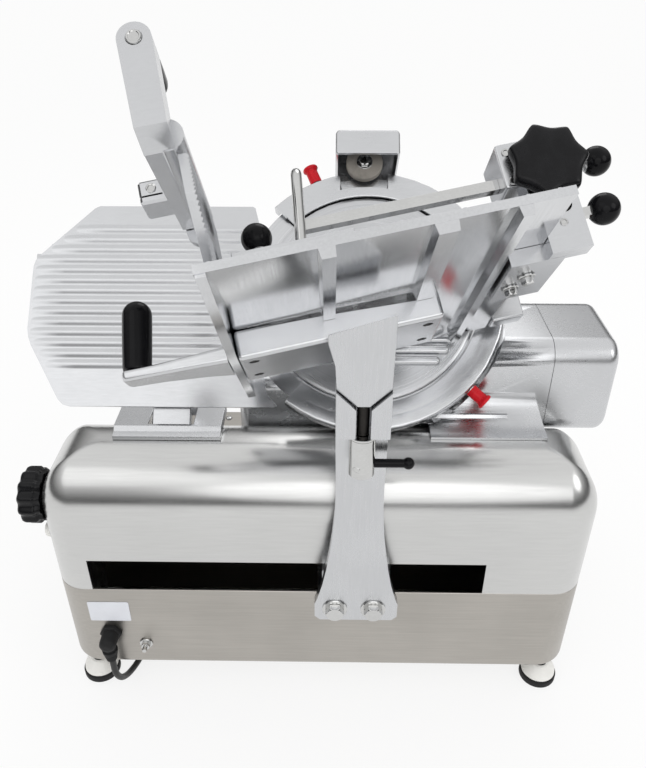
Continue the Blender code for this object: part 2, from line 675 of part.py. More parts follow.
def build_sharpener(knife_frame, lift, stone_spin):
    # Bracket on the back disc, housing with its sliding tongue, and the stone
    bracket = block("sharpener_bracket", (STONE_X - 0.026, 0.100, -0.058), (STONE_X + 0.026, 0.196, -0.042 - GAP), knife_frame, ALLOY, 0.002, 1)
    hole = block("tongue_hole", (STONE_X - 0.0124, 0.1756, -0.08), (STONE_X + 0.0124, 0.1924, -0.02), knife_frame)
    cut(bracket, hole)
    half = SHARPENER_HALF
    middle_u = (SHARPENER_LOW + SHARPENER_TOP) / 2.0
    half_u = (SHARPENER_TOP - SHARPENER_LOW) / 2.0
    loops = []
    for inset, n in ((0.004, 0.044), (0.0012, 0.0432), (0.0, 0.040), (0.0, -0.034)):
        loops.append([(a, b, n) for a, b in rounded(half - inset, half_u - inset, 0.008 - inset, 4, (STONE_X + 0.003, middle_u))])
    head = skin("sharpener_head", loops, lift, ALLOY)
    hollow = block("head_hollow", (STONE_X + 0.003 - half + 0.003, SHARPENER_LOW - 0.01, -0.030),
                   (STONE_X + 0.003 + half - 0.003, SHARPENER_TOP - 0.004, 0.0405), lift)
    cut(head, hollow)
    mouth = block("head_mouth", (STONE_X - 0.024, SHARPENER_LOW - 0.01, 0.02), (STONE_X + 0.024, SHARPENER_LOW + 0.013, 0.06), lift)
    cut(head, mouth)
    tongue = block("head_tongue", (STONE_X - 0.012, 0.176, -0.060), (STONE_X + 0.012, 0.192, -0.0325), lift)
    fuse(head, tongue)
    profile = [(0.0040, -0.030 + GAP), (0.0040, 0.0095), (STONE_RADIUS - 0.001, 0.0098), (STONE_RADIUS, 0.0108), (STONE_RADIUS, 0.0180),
               (STONE_RADIUS - 0.001, 0.0190), (0.0085, 0.0192), (0.0085, 0.0230), (0.0070, 0.0240)]
    turned("grinding_stone", profile, stone_spin, GRIT, "Z", (0, 0, 0), 22)


def gauge_left(u):
    if u > 0.049:
        return -0.398 + (u - 0.049) * 1.06
    if u < -0.052:
        return -0.399 + (-0.052 - u) * 0.62
    return GAUGE_LEFT


def gauge_outline():
    points = [(-0.327, GAUGE_TOP), (-0.333, GAUGE_TOP - 0.0028), (-0.394, 0.054), (-0.400, 0.046), (GAUGE_LEFT, 0.038)]
    points += [(GAUGE_LEFT, -0.040), (-0.4, -0.050), (-0.396, -0.060), (-0.359, -0.124), (-0.353, -0.1300), (-0.345, GAUGE_BOTTOM)]
    points += [(-0.137, GAUGE_BOTTOM), (-0.134, GAUGE_BOTTOM + 0.002)]
    first = math.radians(219.0)
    last = math.radians(146.5)
    for k in range(17):
        angle = first + (last - first) * k / 16
        points.append((GAUGE_ARC * math.cos(angle), GAUGE_ARC * math.sin(angle)))
    points += [(-0.137, GAUGE_TOP - 0.002), (-0.140, GAUGE_TOP)]
    return points


def build_gauge(machine, knife_frame, gauge, index):
    # Ribbed gauge plate
    back = -RIB_HEIGHT - GAUGE_SHEET
    plate = prism("gauge_plate", gauge_outline(), back, -RIB_HEIGHT, gauge, ALLOY)
    shape = bmesh.new()
    for k in range(RIB_COUNT):
        u = 0.087 - RIB_PITCH * k
        left = gauge_left(u) + 0.013
        right = -math.sqrt(GAUGE_ARC ** 2 - u ** 2) - 0.007
        loops = []
        for x, trim in ((left, 0.0), (right, 0.0)):
            loops.append([(x, u - 0.0024, -RIB_HEIGHT - 0.001), (x, u + 0.0024, -RIB_HEIGHT - 0.001),
                          (x, u + 0.0022, -0.0012), (x, u + 0.0010, 0.0), (x, u - 0.0010, 0.0), (x, u - 0.0022, -0.0012)])
        add_rings(shape, loops)
    ribs = finish("gauge_ribs", shape, gauge, None)
    fuse(plate, ribs)

    # Gauge arm with its cam follower
    arm_front = FOLLOWER_N + 0.006
    arm_back = FOLLOWER_N - 0.0055
    arm = block("gauge_arm", (-0.250, -0.246, arm_back), (-0.205, -0.060, arm_front), gauge, ALLOY, 0.0015, 1)
    pad = block("arm_pad", (-0.248, -0.125, arm_front - 0.002), (-0.207, -0.062, back - GAP), gauge)
    fuse(arm, pad)
    pin = turned("arm_follower", [(FOLLOWER_RADIUS, -0.21), (FOLLOWER_RADIUS, -0.1945)], gauge, None, "X", (0, INDEX_U, FOLLOWER_N), 16)
    fuse(arm, pin)

    # Saddle on the cover that the arm passes through
    saddle_profile = [(0.066, COVER_TOP + GAP), (0.066, COVER_TOP + 0.006), (0.074, COVER_TOP + 0.007), (0.078, COVER_TOP + 0.012),
                      (0.126, COVER_TOP + 0.012), (0.126, COVER_TOP + GAP)]
    saddle = prism("gauge_saddle", saddle_profile, -0.236, -0.112, machine, ALLOY, "YZ")
    window = block("saddle_window", (-0.2535, -0.205, FOLLOWER_N - CAM_STROKE - 0.0085),
                   (-0.2015, -0.05, FOLLOWER_N + 0.0085), knife_frame)
    cut(saddle, window)

    # Index shaft with its spiral plate cam, and the knob; local X runs along the shaft
    left = -HALF_WIDTH
    shaft = turned("index_shaft", [(INDEX_SHAFT_RADIUS, left + 0.0005), (INDEX_SHAFT_RADIUS, -0.128)], index, STEEL, "X", (0, 0, 0), 18)
    cam = []
    count = 48
    for k in range(count + 1):
        share = k / count
        radius = CAM_LARGE - CAM_STROKE * share
        angle = math.pi * 0.75 - CAM_TURN * share
        cam.append((radius * math.cos(angle), radius * math.sin(angle)))
    disc = prism("cam_disc", cam, -0.1475, -0.1395, index, None, "YZ")
    fuse(shaft, disc)
    outline = []
    for k in range(48):
        angle = math.tau * k / 48
        radius = INDEX_KNOB_RADIUS - 0.0016 + 0.0016 * math.cos(INDEX_KNOB_LOBES * angle)
        outline.append((radius, angle))
    loops = []
    for scale, x in ((0.90, left - 0.0007), (0.90, left - 0.006), (1.0, left - 0.008), (1.0, left - 0.022), (0.93, left - 0.026),
                     (0.55, left - 0.028)):
        loops.append([(x, r * scale * math.cos(t), r * scale * math.sin(t)) for r, t in outline])
    knob = skin("index_knob", loops, index, BLACK)
    stub = turned("knob_stub", [(INDEX_SHAFT_RADIUS, left - 0.004), (INDEX_SHAFT_RADIUS, left + 0.0002)], index, None, "X", (0, 0, 0), 18)
    fuse(knob, stub)


def build_buttons(start, stop):
    for name, parent, look in (("start_button", start, WHITE), ("stop_button", stop, BLACK)):
        wall = -HALF_WIDTH
        face = wall - GAP - BUTTON_TRAVEL
        profile = [(BUTTON_RADIUS - 0.004, face - 0.007), (BUTTON_RADIUS - 0.001, face - 0.005), (BUTTON_RADIUS, face - 0.002), (BUTTON_RADIUS, face),
                   (BUTTON_RADIUS - 0.0020, face), (BUTTON_RADIUS - 0.0020, wall + 0.014)]
        turned(name, profile, parent, look, "X", (0, 0, 0), 16)


def build_carriage(carriage, collar, tray):
    # Truck on the slide rods, with the lug through the slot
    truck = block("carriage_truck", (ARM_X - 0.045, ROD_Y - 0.024, GUIDE_Z - 0.020), (ARM_X + 0.045, ROD_Y + 0.024, ROD_Z + 0.023), carriage, ALLOY)
    lug = block("truck_lug", (ARM_X - 0.039, ARM_BACK + GAP, PAN_TOP + 0.006), (ARM_X + 0.039, ROD_Y - 0.02, PAN_TOP + SLOT_HEIGHT - 0.006), carriage)
    fuse(truck, lug)
    for name, z, radius in (("truck_rod_bore", ROD_Z, ROD_RADIUS), ("truck_guide_bore", GUIDE_Z, GUIDE_RADIUS)):
        r = radius + GAP
        hole = turned(name, [(r, -0.2), (r, 0.2)], carriage, None, "X", (0, ROD_Y, z), 20)
        cut(truck, hole)

    # Waisted arm with a V-notched head
    side = [(ARM_FOOT_HALF, ARM_LOW + 0.006), (ARM_FOOT_HALF, ARM_LOW + 0.026)]
    steps = 7
    for k in range(steps + 1):
        share = k / steps
        ease = math.sin(share * math.pi / 2.0) ** 0.8
        side.append((ARM_FOOT_HALF - 0.003 - (ARM_FOOT_HALF - 0.003 - ARM_NECK_HALF) * ease,
                     ARM_LOW + 0.034 + (ARM_NECK - ARM_LOW - 0.034) * share))
    side += [(HEAD_HALF, HEAD_LOW), (HEAD_HALF, HEAD_TOP)]
    notch = [(LOCK_RADIUS + 0.001, V_TIP - 0.0004), (LOCK_RADIUS + 0.001, HEAD_LOW)]
    right = [(ARM_FOOT_HALF - 0.006, ARM_LOW)] + side
    outline = [(ARM_X + x, z) for x, z in right] + [(ARM_X + x, z) for x, z in notch]
    outline += [(ARM_X - x, z) for x, z in reversed(notch)] + [(ARM_X - x, z) for x, z in reversed(right)]
    arm = prism("carriage_arm", outline, ARM_FRONT, ARM_BACK, carriage, ALLOY, "XZ")
    for k, sign in enumerate((-1.0, 1.0)):
        inner = [(LOCK_RADIUS + 0.001, HEAD_LOW), (HEAD_HALF - 0.0002, HEAD_LOW), (HEAD_HALF - 0.0002, HEAD_TOP), (LOCK_RADIUS + 0.001, V_TIP - 0.0004)]
        cheek = prism("arm_cheek_%d" % k, [(ARM_X + sign * x, z) for x, z in inner], HEAD_FRONT, ARM_FRONT + 0.002, carriage, None, "XZ")
        fuse(arm, cheek)

    # Tray post with the matching V foot, cut off under the beam
    tip = LOCK_RADIUS
    lift = GAP * 1.3
    outline = [(-tip, V_TIP + lift), (tip, V_TIP + lift), (HEAD_HALF - 0.0005, HEAD_TOP + lift), (HEAD_HALF, HEAD_TOP + 0.017),
               (HEAD_HALF + 0.001, HEAD_TOP + 0.097), (-HEAD_HALF - 0.010, HEAD_TOP + 0.097),
               (-HEAD_HALF - 0.007, HEAD_TOP + 0.047), (-HEAD_HALF - 0.001, HEAD_TOP + 0.025), (-HEAD_HALF + 0.0005, HEAD_TOP + lift)]
    post = prism("tray_post", [(ARM_X + x, z) for x, z in outline], HEAD_FRONT + 0.004, ARM_BACK + 0.004, carriage, ALLOY, "XZ")
    lid = block("post_trim", (-0.5, -BEAM_DROP - GAP, -0.1), (0.3, 0.3, 0.5), tray)
    cut(post, lid)
    turned("lock_screw", [(LOCK_RADIUS, HEAD_LOW + 0.0002), (LOCK_RADIUS, V_TIP)], carriage, BLACK, "Z", (ARM_X, LOCK_Y, 0), 18)

    # Lock collar with its tommy bar, local Z up the screw
    top = HEAD_LOW - GAP
    ring = turned("lock_collar", [(COLLAR_RADIUS - 0.001, COLLAR_LOW), (COLLAR_RADIUS, COLLAR_LOW + 0.001), (COLLAR_RADIUS, top - 0.001),
                                  (COLLAR_RADIUS - 0.001, top)], collar, STEEL, "Z", (0, 0, 0), 24)
    bar = turned("tommy_bar", [(0.0042, 0.004), (0.0042, 0.046), (0.0060, 0.047), (0.0060, 0.056), (0.0045, 0.058)], collar, None, "X",
                 (0, 0, COLLAR_LOW + 0.012), 16)
    fuse(ring, bar)


def build_tray(tray):
    # Beam with its screw holes
    beam = block("tray_beam", (BEAM_LEFT, -BEAM_DROP, BEAM_BACK), (BEAM_RIGHT, -0.0001, BEAM_FRONT), tray, ALLOY, 0.004, 3)
    shape = bmesh.new()
    for t, n in ((BEAM_LEFT + 0.013, BEAM_FRONT - 0.016), (BEAM_LEFT + 0.013, BEAM_BACK + 0.020),
                 (BEAM_RIGHT - 0.014, BEAM_FRONT - 0.016), (BEAM_RIGHT - 0.014, BEAM_BACK + 0.020)):
        loops = [circle(0.0048, h, "Y", (t, 0, n), 14) for h in (-BEAM_DROP - 0.01, -BEAM_DROP + 0.012)]
        add_rings(shape, loops)
    holes = finish("beam_holes", shape, tray, None)
    cut(beam, holes)

    # Extruded plate: ribs underneath, fine ridges on the product side
    outline = [(TRAY_LEFT, 0.0)]
    for centre, width in ((-0.151, 0.013), (-0.064, 0.018), (-0.006, 0.011)):
        outline += [(centre - width / 2.0, 0.0), (centre - width / 2.0 + 0.0012, -0.009), (centre + width / 2.0 - 0.0012, -0.009), (centre + width / 2.0, 0.0)]
    outline += [(TRAY_RIGHT, 0.0), (TRAY_RIGHT, TRAY_SHEET)]
    ridges = 12
    pitch = (TRAY_RIGHT - TRAY_LEFT) / ridges
    for k in range(ridges):
        t = TRAY_RIGHT - pitch * (k + 0.5)
        outline += [(t + 0.0025, TRAY_SHEET), (t + 0.001, TRAY_SHEET + 0.0014), (t - 0.001, TRAY_SHEET + 0.0014), (t - 0.0025, TRAY_SHEET)]
    outline += [(TRAY_LEFT, TRAY_SHEET)]
    plate = prism("tray_plate", outline, 0.0, TRAY_LENGTH, tray, SATIN)
    lip = block("tray_lip", (TRAY_LEFT - 0.0004, -0.0004, TRAY_LENGTH - 0.010), (TRAY_RIGHT + 0.0004, TRAY_LIP, TRAY_LENGTH + 0.0004), tray)
    fuse(plate, lip)
    web_outline = [(0.002, 0.020), (-BEAM_DROP + 0.002, 0.020), (-BEAM_DROP + 0.002, BEAM_FRONT), (-0.003, TRAY_LENGTH - 0.001), (0.002, TRAY_LENGTH - 0.001)]
    web = prism("tray_web", web_outline, TRAY_LEFT + 0.0003, BEAM_LEFT - GAP, tray, None, "YZ")
    fuse(plate, web)
    seat = block("beam_seat", (BEAM_LEFT - GAP, -0.05, -0.001), (BEAM_RIGHT + 0.0008, 0.0002, BEAM_FRONT + 0.0006), tray)
    cut(plate, seat)

    # Handle arm and grip
    loops = []
    for t, low, high, back, front in ((TRAY_LEFT, -0.0265, -0.006, 0.138, 0.184), (-0.270, -0.0285, -0.0140, 0.144, 0.184), (-0.308, -0.0295, -0.0195, 0.150, 0.184),
                                      (HANDLE_END + 0.004, -0.0295, -0.0195, 0.154, 0.184), (HANDLE_END, -0.0280, -0.0205, 0.158, 0.180)):
        section = rounded((high - low) / 2.0, (front - back) / 2.0, 0.0035, 3, ((high + low) / 2.0, (front + back) / 2.0))
        x = t - GAP if t == TRAY_LEFT else t
        loops.append([(x, a, b) for a, b in section])
    skin("handle_arm", loops, tray, ALLOY)
    lean = Matrix.Translation(Vector((GRIP_T, -0.0190, 0.169))) @ Matrix.Rotation(math.radians(-9.0), 4, "Z")
    stand = empty("grip_axis", tray, lean)
    profile = [(0.0105, 0.0014), (GRIP_RADIUS, 0.0036), (GRIP_RADIUS * 1.03, GRIP_LENGTH * 0.5), (GRIP_RADIUS, GRIP_LENGTH - 0.006), (GRIP_RADIUS * 0.86, GRIP_LENGTH - 0.0018), (GRIP_RADIUS * 0.5, GRIP_LENGTH)]
    turned("hand_grip", profile, stand, BLACK, "Y", (0, 0, 0), 22)


def build_press(tray, press):
    # Serrated side fence with the hinge pin of the press arm
    low = TRAY_SHEET + 0.0014 + GAP
    top = PRESS_W - PRESS_TUBE - GAP
    outline = [(FENCE_LEFT, low), (FENCE_FACE, low)]
    pitch = (top - low - 0.004) / FENCE_TEETH
    for k in range(FENCE_TEETH):
        outline += [(FENCE_FACE, low + 0.002 + pitch * k), (FENCE_TIP, low + 0.002 + pitch * (k + 0.75))]
    outline += [(FENCE_FACE, top - 0.001), (FENCE_FACE, top), (FENCE_LEFT, top)]
    fence = prism("side_fence", outline, FENCE_BACK, FENCE_FRONT, tray, STEEL)
    wedge = prism("fence_wedge", [(low - 0.01, 0.272), (low - 0.01, 0.36), (top + 0.001, 0.36)], -0.30, -0.20, tray, None, "YZ")
    cut(fence, wedge)
    lug_outline = rounded(0.0125, 0.020, 0.012, 4, (PRESS_T, PRESS_W - 0.007))
    lug = prism("fence_lug", lug_outline, 0.1965, 0.2044, tray)
    fuse(fence, lug)
    pin = turned("fence_pin", [(PRESS_ROD, 0.200), (PRESS_ROD, 0.333)], tray, None, "Z", (PRESS_T, PRESS_W, 0), 16)
    fuse(fence, pin)

    # Press arm: local origin on the hinge pin
    t0 = PRESS_PIN_T - PRESS_T
    w0 = PRESS_PIN_W - PRESS_W
    loops = []
    for n, low in ((PRESS_BACK, -PRESS_UNDER - 0.0006), (PRESS_FRONT, PRESS_CREASE)):
        outline = [(t0 - PRESS_HALF, low, n), (t0 + PRESS_HALF, low, n)]
        for k in range(13):
            angle = math.pi * k / 12
            outline.append((t0 + PRESS_EYE * math.cos(angle), w0 + PRESS_EYE * math.sin(angle), n))
        loops.append(outline)
    arm = skin("press_arm", loops, press, ALLOY)
    tube = turned("press_tube", [(PRESS_TUBE, 0.2047), (PRESS_TUBE, PRESS_BACK + 0.0012)], press, None, "Z", (0, 0, 0), 24)
    fuse(arm, tube)
    loops = []
    right = t0 + PRESS_HALF - 0.0006
    for n, left, high in ((0.2060, -0.0150, 0.004), (PRESS_BACK + 0.0015, t0 - PRESS_HALF + 0.0002, 0.016)):
        loops.append([(left, -PRESS_UNDER, n), (right, -PRESS_UNDER, n), (-0.002, high, n), (left, high, n)])
    web = skin("press_web", loops, press)
    fuse(arm, web)
    clamp = block("press_clamp", (CLAMP_LEFT, CLAMP_LOW, CLAMP_BACK), (-0.008, CLAMP_TOP, CLAMP_FRONT), press, None, 0.002, 1)
    fuse(arm, clamp)
    slit = block("clamp_slit", (CLAMP_LEFT - 0.01, -0.0040, CLAMP_BACK - 0.01), (-0.0195, -0.0025, CLAMP_FRONT + 0.01), press)
    cut(arm, slit)
    bore = turned("press_bore", [(PRESS_ROD + GAP, 0.19), (PRESS_ROD + GAP, PRESS_BACK - 0.001)], press, None, "Z", (0, 0, 0), 16)
    cut(arm, bore)
    eye = turned("press_eye", [(0.0063, 0.32), (0.0063, 0.38)], press, None, "Z", (t0, w0, 0), 16)
    cut(arm, eye)
    back = PRESS_BACK - GAP
    profile = [(0.0090, back - 0.034), (0.0122, back - 0.031), (0.0126, back - 0.016), (0.0122, back - 0.003),
               (0.0100, back), (0.006, back), (0.006, PRESS_FRONT + 0.001), (0.0052, PRESS_FRONT + 0.0016)]
    turned("press_handle", profile, press, BLACK, "Z", (t0, w0, 0), 20)


def build_feed(tray, feed, bar_slide, star, lever):
    # Feed rod on the right edge of the tray, between a foot and an ear on a bracket
    rod_low = ROD_FOOT_BACK + 0.002
    rod_high = EAR_FRONT - 0.002
    turned("feed_rod", [(FEED_RADIUS - 0.001, rod_low), (FEED_RADIUS, rod_low + 0.001), (FEED_RADIUS, rod_high - 0.001),
                        (FEED_RADIUS - 0.001, rod_high)], tray, CHROME, "Z", (FEED_T, FEED_W, 0), 20)
    left = TRAY_RIGHT + 0.0004 + GAP
    reach = SLEEVE_HALF + 0.0005
    foot = block("feed_rod_foot", (left, -0.004, ROD_FOOT_BACK), (FEED_T + reach, FEED_W + reach, ROD_FOOT_FRONT), tray,
                 ALLOY, 0.003, 2)
    hole = turned("foot_bore", [(FEED_RADIUS + GAP, ROD_FOOT_BACK - 0.01), (FEED_RADIUS + GAP, ROD_FOOT_FRONT + 0.01)],
                  tray, None, "Z", (FEED_T, FEED_W, 0), 20)
    cut(foot, hole)
    bracket = block("feed_rod_block", (BRACKET_LEFT, -BRACKET_DROP, BRACKET_BACK), (BRACKET_RIGHT, -GAP, BRACKET_FRONT),
                    tray, ALLOY)
    ear = block("bracket_ear", (left, -BRACKET_DROP + 0.0002, EAR_BACK), (EAR_RIGHT, EAR_TOP, EAR_FRONT), tray)
    fuse(bracket, ear)
    hole = turned("ear_bore", [(FEED_RADIUS + GAP, EAR_BACK - 0.01), (FEED_RADIUS + GAP, EAR_FRONT + 0.01)], tray, None,
                  "Z", (FEED_T, FEED_W, 0), 20)
    cut(bracket, hole)

    # Slider: bar block, web and sleeve block on the rod
    n = BAR_N
    slider = block("feed_slider", (SLIDER_LEFT, BAR_W - SLIDER_LOW, n - SLIDER_BACK),
                   (SLIDER_RIGHT, BAR_W + SLIDER_HIGH, n + SLIDER_FRONT), feed, ALLOY, 0.003, 2)
    web = block("slider_web", (FEED_T - 0.011, FEED_W + 0.004, n - 0.011),
                (FEED_T + 0.008, BAR_W - SLIDER_LOW + 0.003, n + SLEEVE_FRONT - 0.001), feed)
    fuse(slider, web)
    sleeve = block("slider_sleeve", (FEED_T - SLEEVE_HALF, FEED_W - SLEEVE_HALF, n - SLEEVE_BACK),
                   (FEED_T + SLEEVE_HALF, FEED_W + SLEEVE_HALF, n + SLEEVE_FRONT), feed, None, 0.002, 1)
    fuse(slider, sleeve)
    half = BAR_SIZE / 2.0 + GAP
    passage = block("slider_passage", (SLIDER_LEFT - 0.05, BAR_W - half, n - half),
                    (SLIDER_RIGHT + 0.05, BAR_W + half, n + half), feed)
    cut(slider, passage)
    bore = turned("slider_bore", [(FEED_RADIUS + GAP, n - 0.1), (FEED_RADIUS + GAP, n + 0.1)], feed, None, "Z",
                  (FEED_T, FEED_W, 0), 20)
    cut(slider, bore)
    stud = turned("slider_stud_hole", [(0.0043, n + 0.003), (0.0043, n + 0.05)], feed, None, "Z", (STAR_T, STAR_W, 0), 14)
    cut(slider, stud)
    neck = KNOB_REACH - BALL_RADIUS
    knob = [(0.004, SLIDER_RIGHT + GAP), (0.004, neck - 0.0005), (0.0075, neck)] + ball_profile(KNOB_REACH, neck)
    turned("feed_knob", knob, feed, BLACK, "X", (0, KNOB_W, KNOB_N), 18)

    # Scalloped star knob, local origin on its stud
    outline = []
    for k in range(STAR_LOBES * 6):
        angle = math.tau * k / (STAR_LOBES * 6)
        radius = STAR_RADIUS - STAR_SCALLOP * math.sqrt(math.sin(STAR_LOBES * angle / 2.0) ** 2 + 0.02)
        outline.append((radius, angle - math.radians(4.5)))
    loops = []
    face = STAR_FACE
    for scale, depth in ((0.88, face), (1.0, face + 0.003), (1.0, face + 0.011), (0.90, face + 0.0145), (0.50, face + 0.0155)):
        loops.append([(r * scale * math.cos(a), r * scale * math.sin(a), depth) for r, a in outline])
    star_knob = skin("star_knob", loops, star, BLACK)
    hub = turned("star_hub", [(0.004, BAR_SIZE / 2.0 + GAP), (0.004, face - 0.0010), (0.011, face - 0.0009),
                              (0.011, face + 0.002)], star, None, "Z", (0, 0, 0), 18)
    fuse(star_knob, hub)

    # Clamp lever round the rod, local origin on the rod axis
    base = n + SLEEVE_FRONT + GAP
    bore = FEED_RADIUS + GAP
    ring = turned("rod_lock_lever", [(bore, base), (LEVER_RING, base), (LEVER_RING, base + LEVER_THICK),
                                     (bore, base + LEVER_THICK)], lever, STEEL, "Z", (0, 0, 0), 20, True)
    neck = LEVER_REACH - BALL_RADIUS
    shank = block("lever_shank", (LEVER_RING - 0.002, -0.003, base + 0.002), (neck + 0.001, 0.003, base + LEVER_THICK - 0.002), lever)
    fuse(ring, shank)
    ball = turned("lever_ball", [(0.0050, neck - 0.001)] + ball_profile(LEVER_REACH, neck), lever, None, "X",
                  (0, 0, base + LEVER_THICK / 2.0), 18)
    fuse(ring, ball)

    # Square press bar with its loop, and the pusher under it
    bar = block("press_bar", (BAR_LEFT, BAR_W - BAR_SIZE / 2.0, n - BAR_SIZE / 2.0), (BAR_RIGHT, BAR_W + BAR_SIZE / 2.0, n + BAR_SIZE / 2.0), bar_slide, STEEL)
    spread_n = 0.016
    foot = PUSHER_TOP + GAP + LOOP_LEAN * LOOP_ROD
    path = [(foot, n), (BAR_W + 0.005, n)]
    for k in range(9):
        angle = math.pi * k / 8
        path.append((LOOP_TOP - spread_n + spread_n * math.sin(angle), n + spread_n - spread_n * math.cos(angle)))
    path += [(BAR_W + 0.005, n + 2 * spread_n), (foot, n + 2 * spread_n)]
    path = [(BAR_LEFT - 0.002 + (w - BAR_W) * LOOP_LEAN, w, depth) for w, depth in path]
    loop = skin("press_loop", swept_loops(path, LOOP_ROD, 12), bar_slide)
    fuse(bar, loop)
    outline = [(0.0085, n + PUSHER_FRONT), (0.0085, n - 0.010)]
    for k in range(6):
        w = 0.0085 + 0.0060 * k
        outline += [(w + 0.0030, n - 0.0155), (w + 0.0060, n - 0.010)]
    outline += [(PUSHER_TOP, n - 0.008), (PUSHER_TOP, n + PUSHER_FRONT)]
    prism("pusher", outline, PUSHER_LEFT, PUSHER_RIGHT, bar_slide, ALLOY, "YZ")
    top = PUSHER_TOP + 0.0148
    knob = [(0.0040, PUSHER_TOP + GAP), (0.0040, top - 0.0010), (0.0075, top - 0.0005)] + ball_profile(top + 0.0125, top - 0.0005)
    turned("pusher_knob", knob, bar_slide, BLACK, "Y", (-0.199, 0, n), 18)


def ball_profile(centre, start):
    points = []
    first = math.asin((start - centre) / BALL_RADIUS * 0.80)
    last = math.radians(84.0)
    for k in range(7):
        angle = first + (last - first) * k / 6
        points.append((BALL_RADIUS * math.cos(angle), centre + BALL_RADIUS * math.sin(angle)))
    return points


def cord_route():
    touch = COIL_X - COIL_MEAN - CORD_RADIUS * 3.0 - GAP * 2.5
    points = [(GLAND_X, GLAND_Y, GLAND_Z - 0.0313), (GLAND_X, GLAND_Y, GLAND_Z - 0.046), (GLAND_X + 0.0004, GLAND_Y + 0.0008, 0.046), (GLAND_X + 0.002, GLAND_Y + 0.006, 0.031),
              (GLAND_X + 0.004, GLAND_Y + 0.017, 0.0175), (GLAND_X + 0.008, GLAND_Y + 0.034, 0.0080), (GLAND_X + 0.014, GLAND_Y + 0.056, 0.0048),
              (GLAND_X + 0.022, GLAND_Y + 0.090, 0.0046), (-0.222, 0.130, 0.0046), (-0.205, 0.190, 0.0046), (-0.190, 0.250, 0.0046),
              (-0.176, 0.310, 0.0046), (-0.158, 0.365, 0.0046), (-0.136, 0.412, 0.0046), (touch + 0.0040, COIL_Y - 0.030, 0.0046), (touch, COIL_Y, 0.0046)]
    return points


def smooth_route(points, spacing):
    # Catmull-Rom curve through the points, read at even spacing
    dense = []
    for k in range(len(points) - 1):
        a = Vector(points[max(k - 1, 0)])
        b = Vector(points[k])
        c = Vector(points[k + 1])
        d = Vector(points[min(k + 2, len(points) - 1)])
        for j in range(12):
            s = j / 12.0
            dense.append(0.5 * (2 * b + (c - a) * s + (2 * a - 5 * b + 4 * c - d) * s * s + (3 * b - a - 3 * c + d) * s ** 3))
    dense.append(Vector(points[-1]))
    kept = [dense[0]]
    for spot in dense[1:-1]:
        if (spot - kept[-1]).length >= spacing:
            kept.append(spot)
    if (dense[-1] - kept[-1]).length < spacing * 0.5:
        kept.pop()
    kept.append(dense[-1])
    return kept


def build_cord(machine):
    route = smooth_route(cord_route(), CORD_RADIUS * 4.4)
    curve = bpy.data.curves.new("cord", "CURVE")
    curve.dimensions = "3D"
    curve.bevel_depth = CORD_RADIUS
    curve.bevel_resolution = 2
    curve.use_fill_caps = True
    spline = curve.splines.new("POLY")
    spline.points.add(len(route) - 1)
    for point, spot in zip(spline.points, route):
        point.co = (spot.x, spot.y, spot.z, 1.0)
    cord = bpy.data.objects.new("cord", curve)
    bpy.context.scene.collection.objects.link(cord)
    cord.parent = machine
    colour(cord, RUBBER)
    low = 0.0006
    half = CORD_RADIUS * 2.0
    high = low + CORD_RADIUS * 6.0
    profile = [(COIL_MEAN - half, low + 0.003), (COIL_MEAN - half + 0.003, low), (COIL_MEAN + half - 0.003, low), (COIL_MEAN + half, low + 0.003),
               (COIL_MEAN + half, high - 0.003), (COIL_MEAN + half - 0.003, high), (COIL_MEAN - half + 0.003, high), (COIL_MEAN - half, high - 0.003)]
    turned("cord_coil", profile, machine, RUBBER, "Z", (COIL_X, COIL_Y, 0), 24, True)
    y = COIL_Y + PLUG_SHIFT
    start = COIL_X + math.sqrt((COIL_MEAN + half) ** 2 - (PLUG_SHIFT - 0.005) ** 2)
    plug = turned("mains_plug", [(0.0045, GAP), (0.0060, 0.012), (0.0085, 0.022), (0.0175, 0.028), (0.0190, 0.034), (0.0190, 0.058), (0.0180, 0.060)],
                  machine, RUBBER, "X", (start, y, 0.0196), 16)
    for k, side in enumerate((-1.0, 1.0)):
        pin = turned("plug_pin_%d" % k, [(0.0024, 0.055), (0.0024, 0.078), (0.0016, 0.079)], machine, None, "X",
                     (start, y + side * 0.0095, 0.0196), 8)
        fuse(plug, pin)


def centre_on_origin(machine, loose):
    # Move the whole machine so that its footprint is centred on the origin
    bpy.context.view_layer.update()
    graph = bpy.context.evaluated_depsgraph_get()
    low = Vector((1e9, 1e9, 1e9))
    high = -low
    for item in bpy.context.scene.objects:
        if item.type != "MESH" or item.hide_render or item.name in loose:
            continue
        body = item.evaluated_get(graph)
        shape = body.to_mesh()
        for corner in shape.vertices:
            spot = body.matrix_world @ corner.co
            low = Vector(map(min, low, spot))
            high = Vector(map(max, high, spot))
        body.to_mesh_clear()
    machine.location = (-(low.x + high.x) / 2.0, -(low.y + high.y) / 2.0, -low.z)
    bpy.context.view_layer.update()


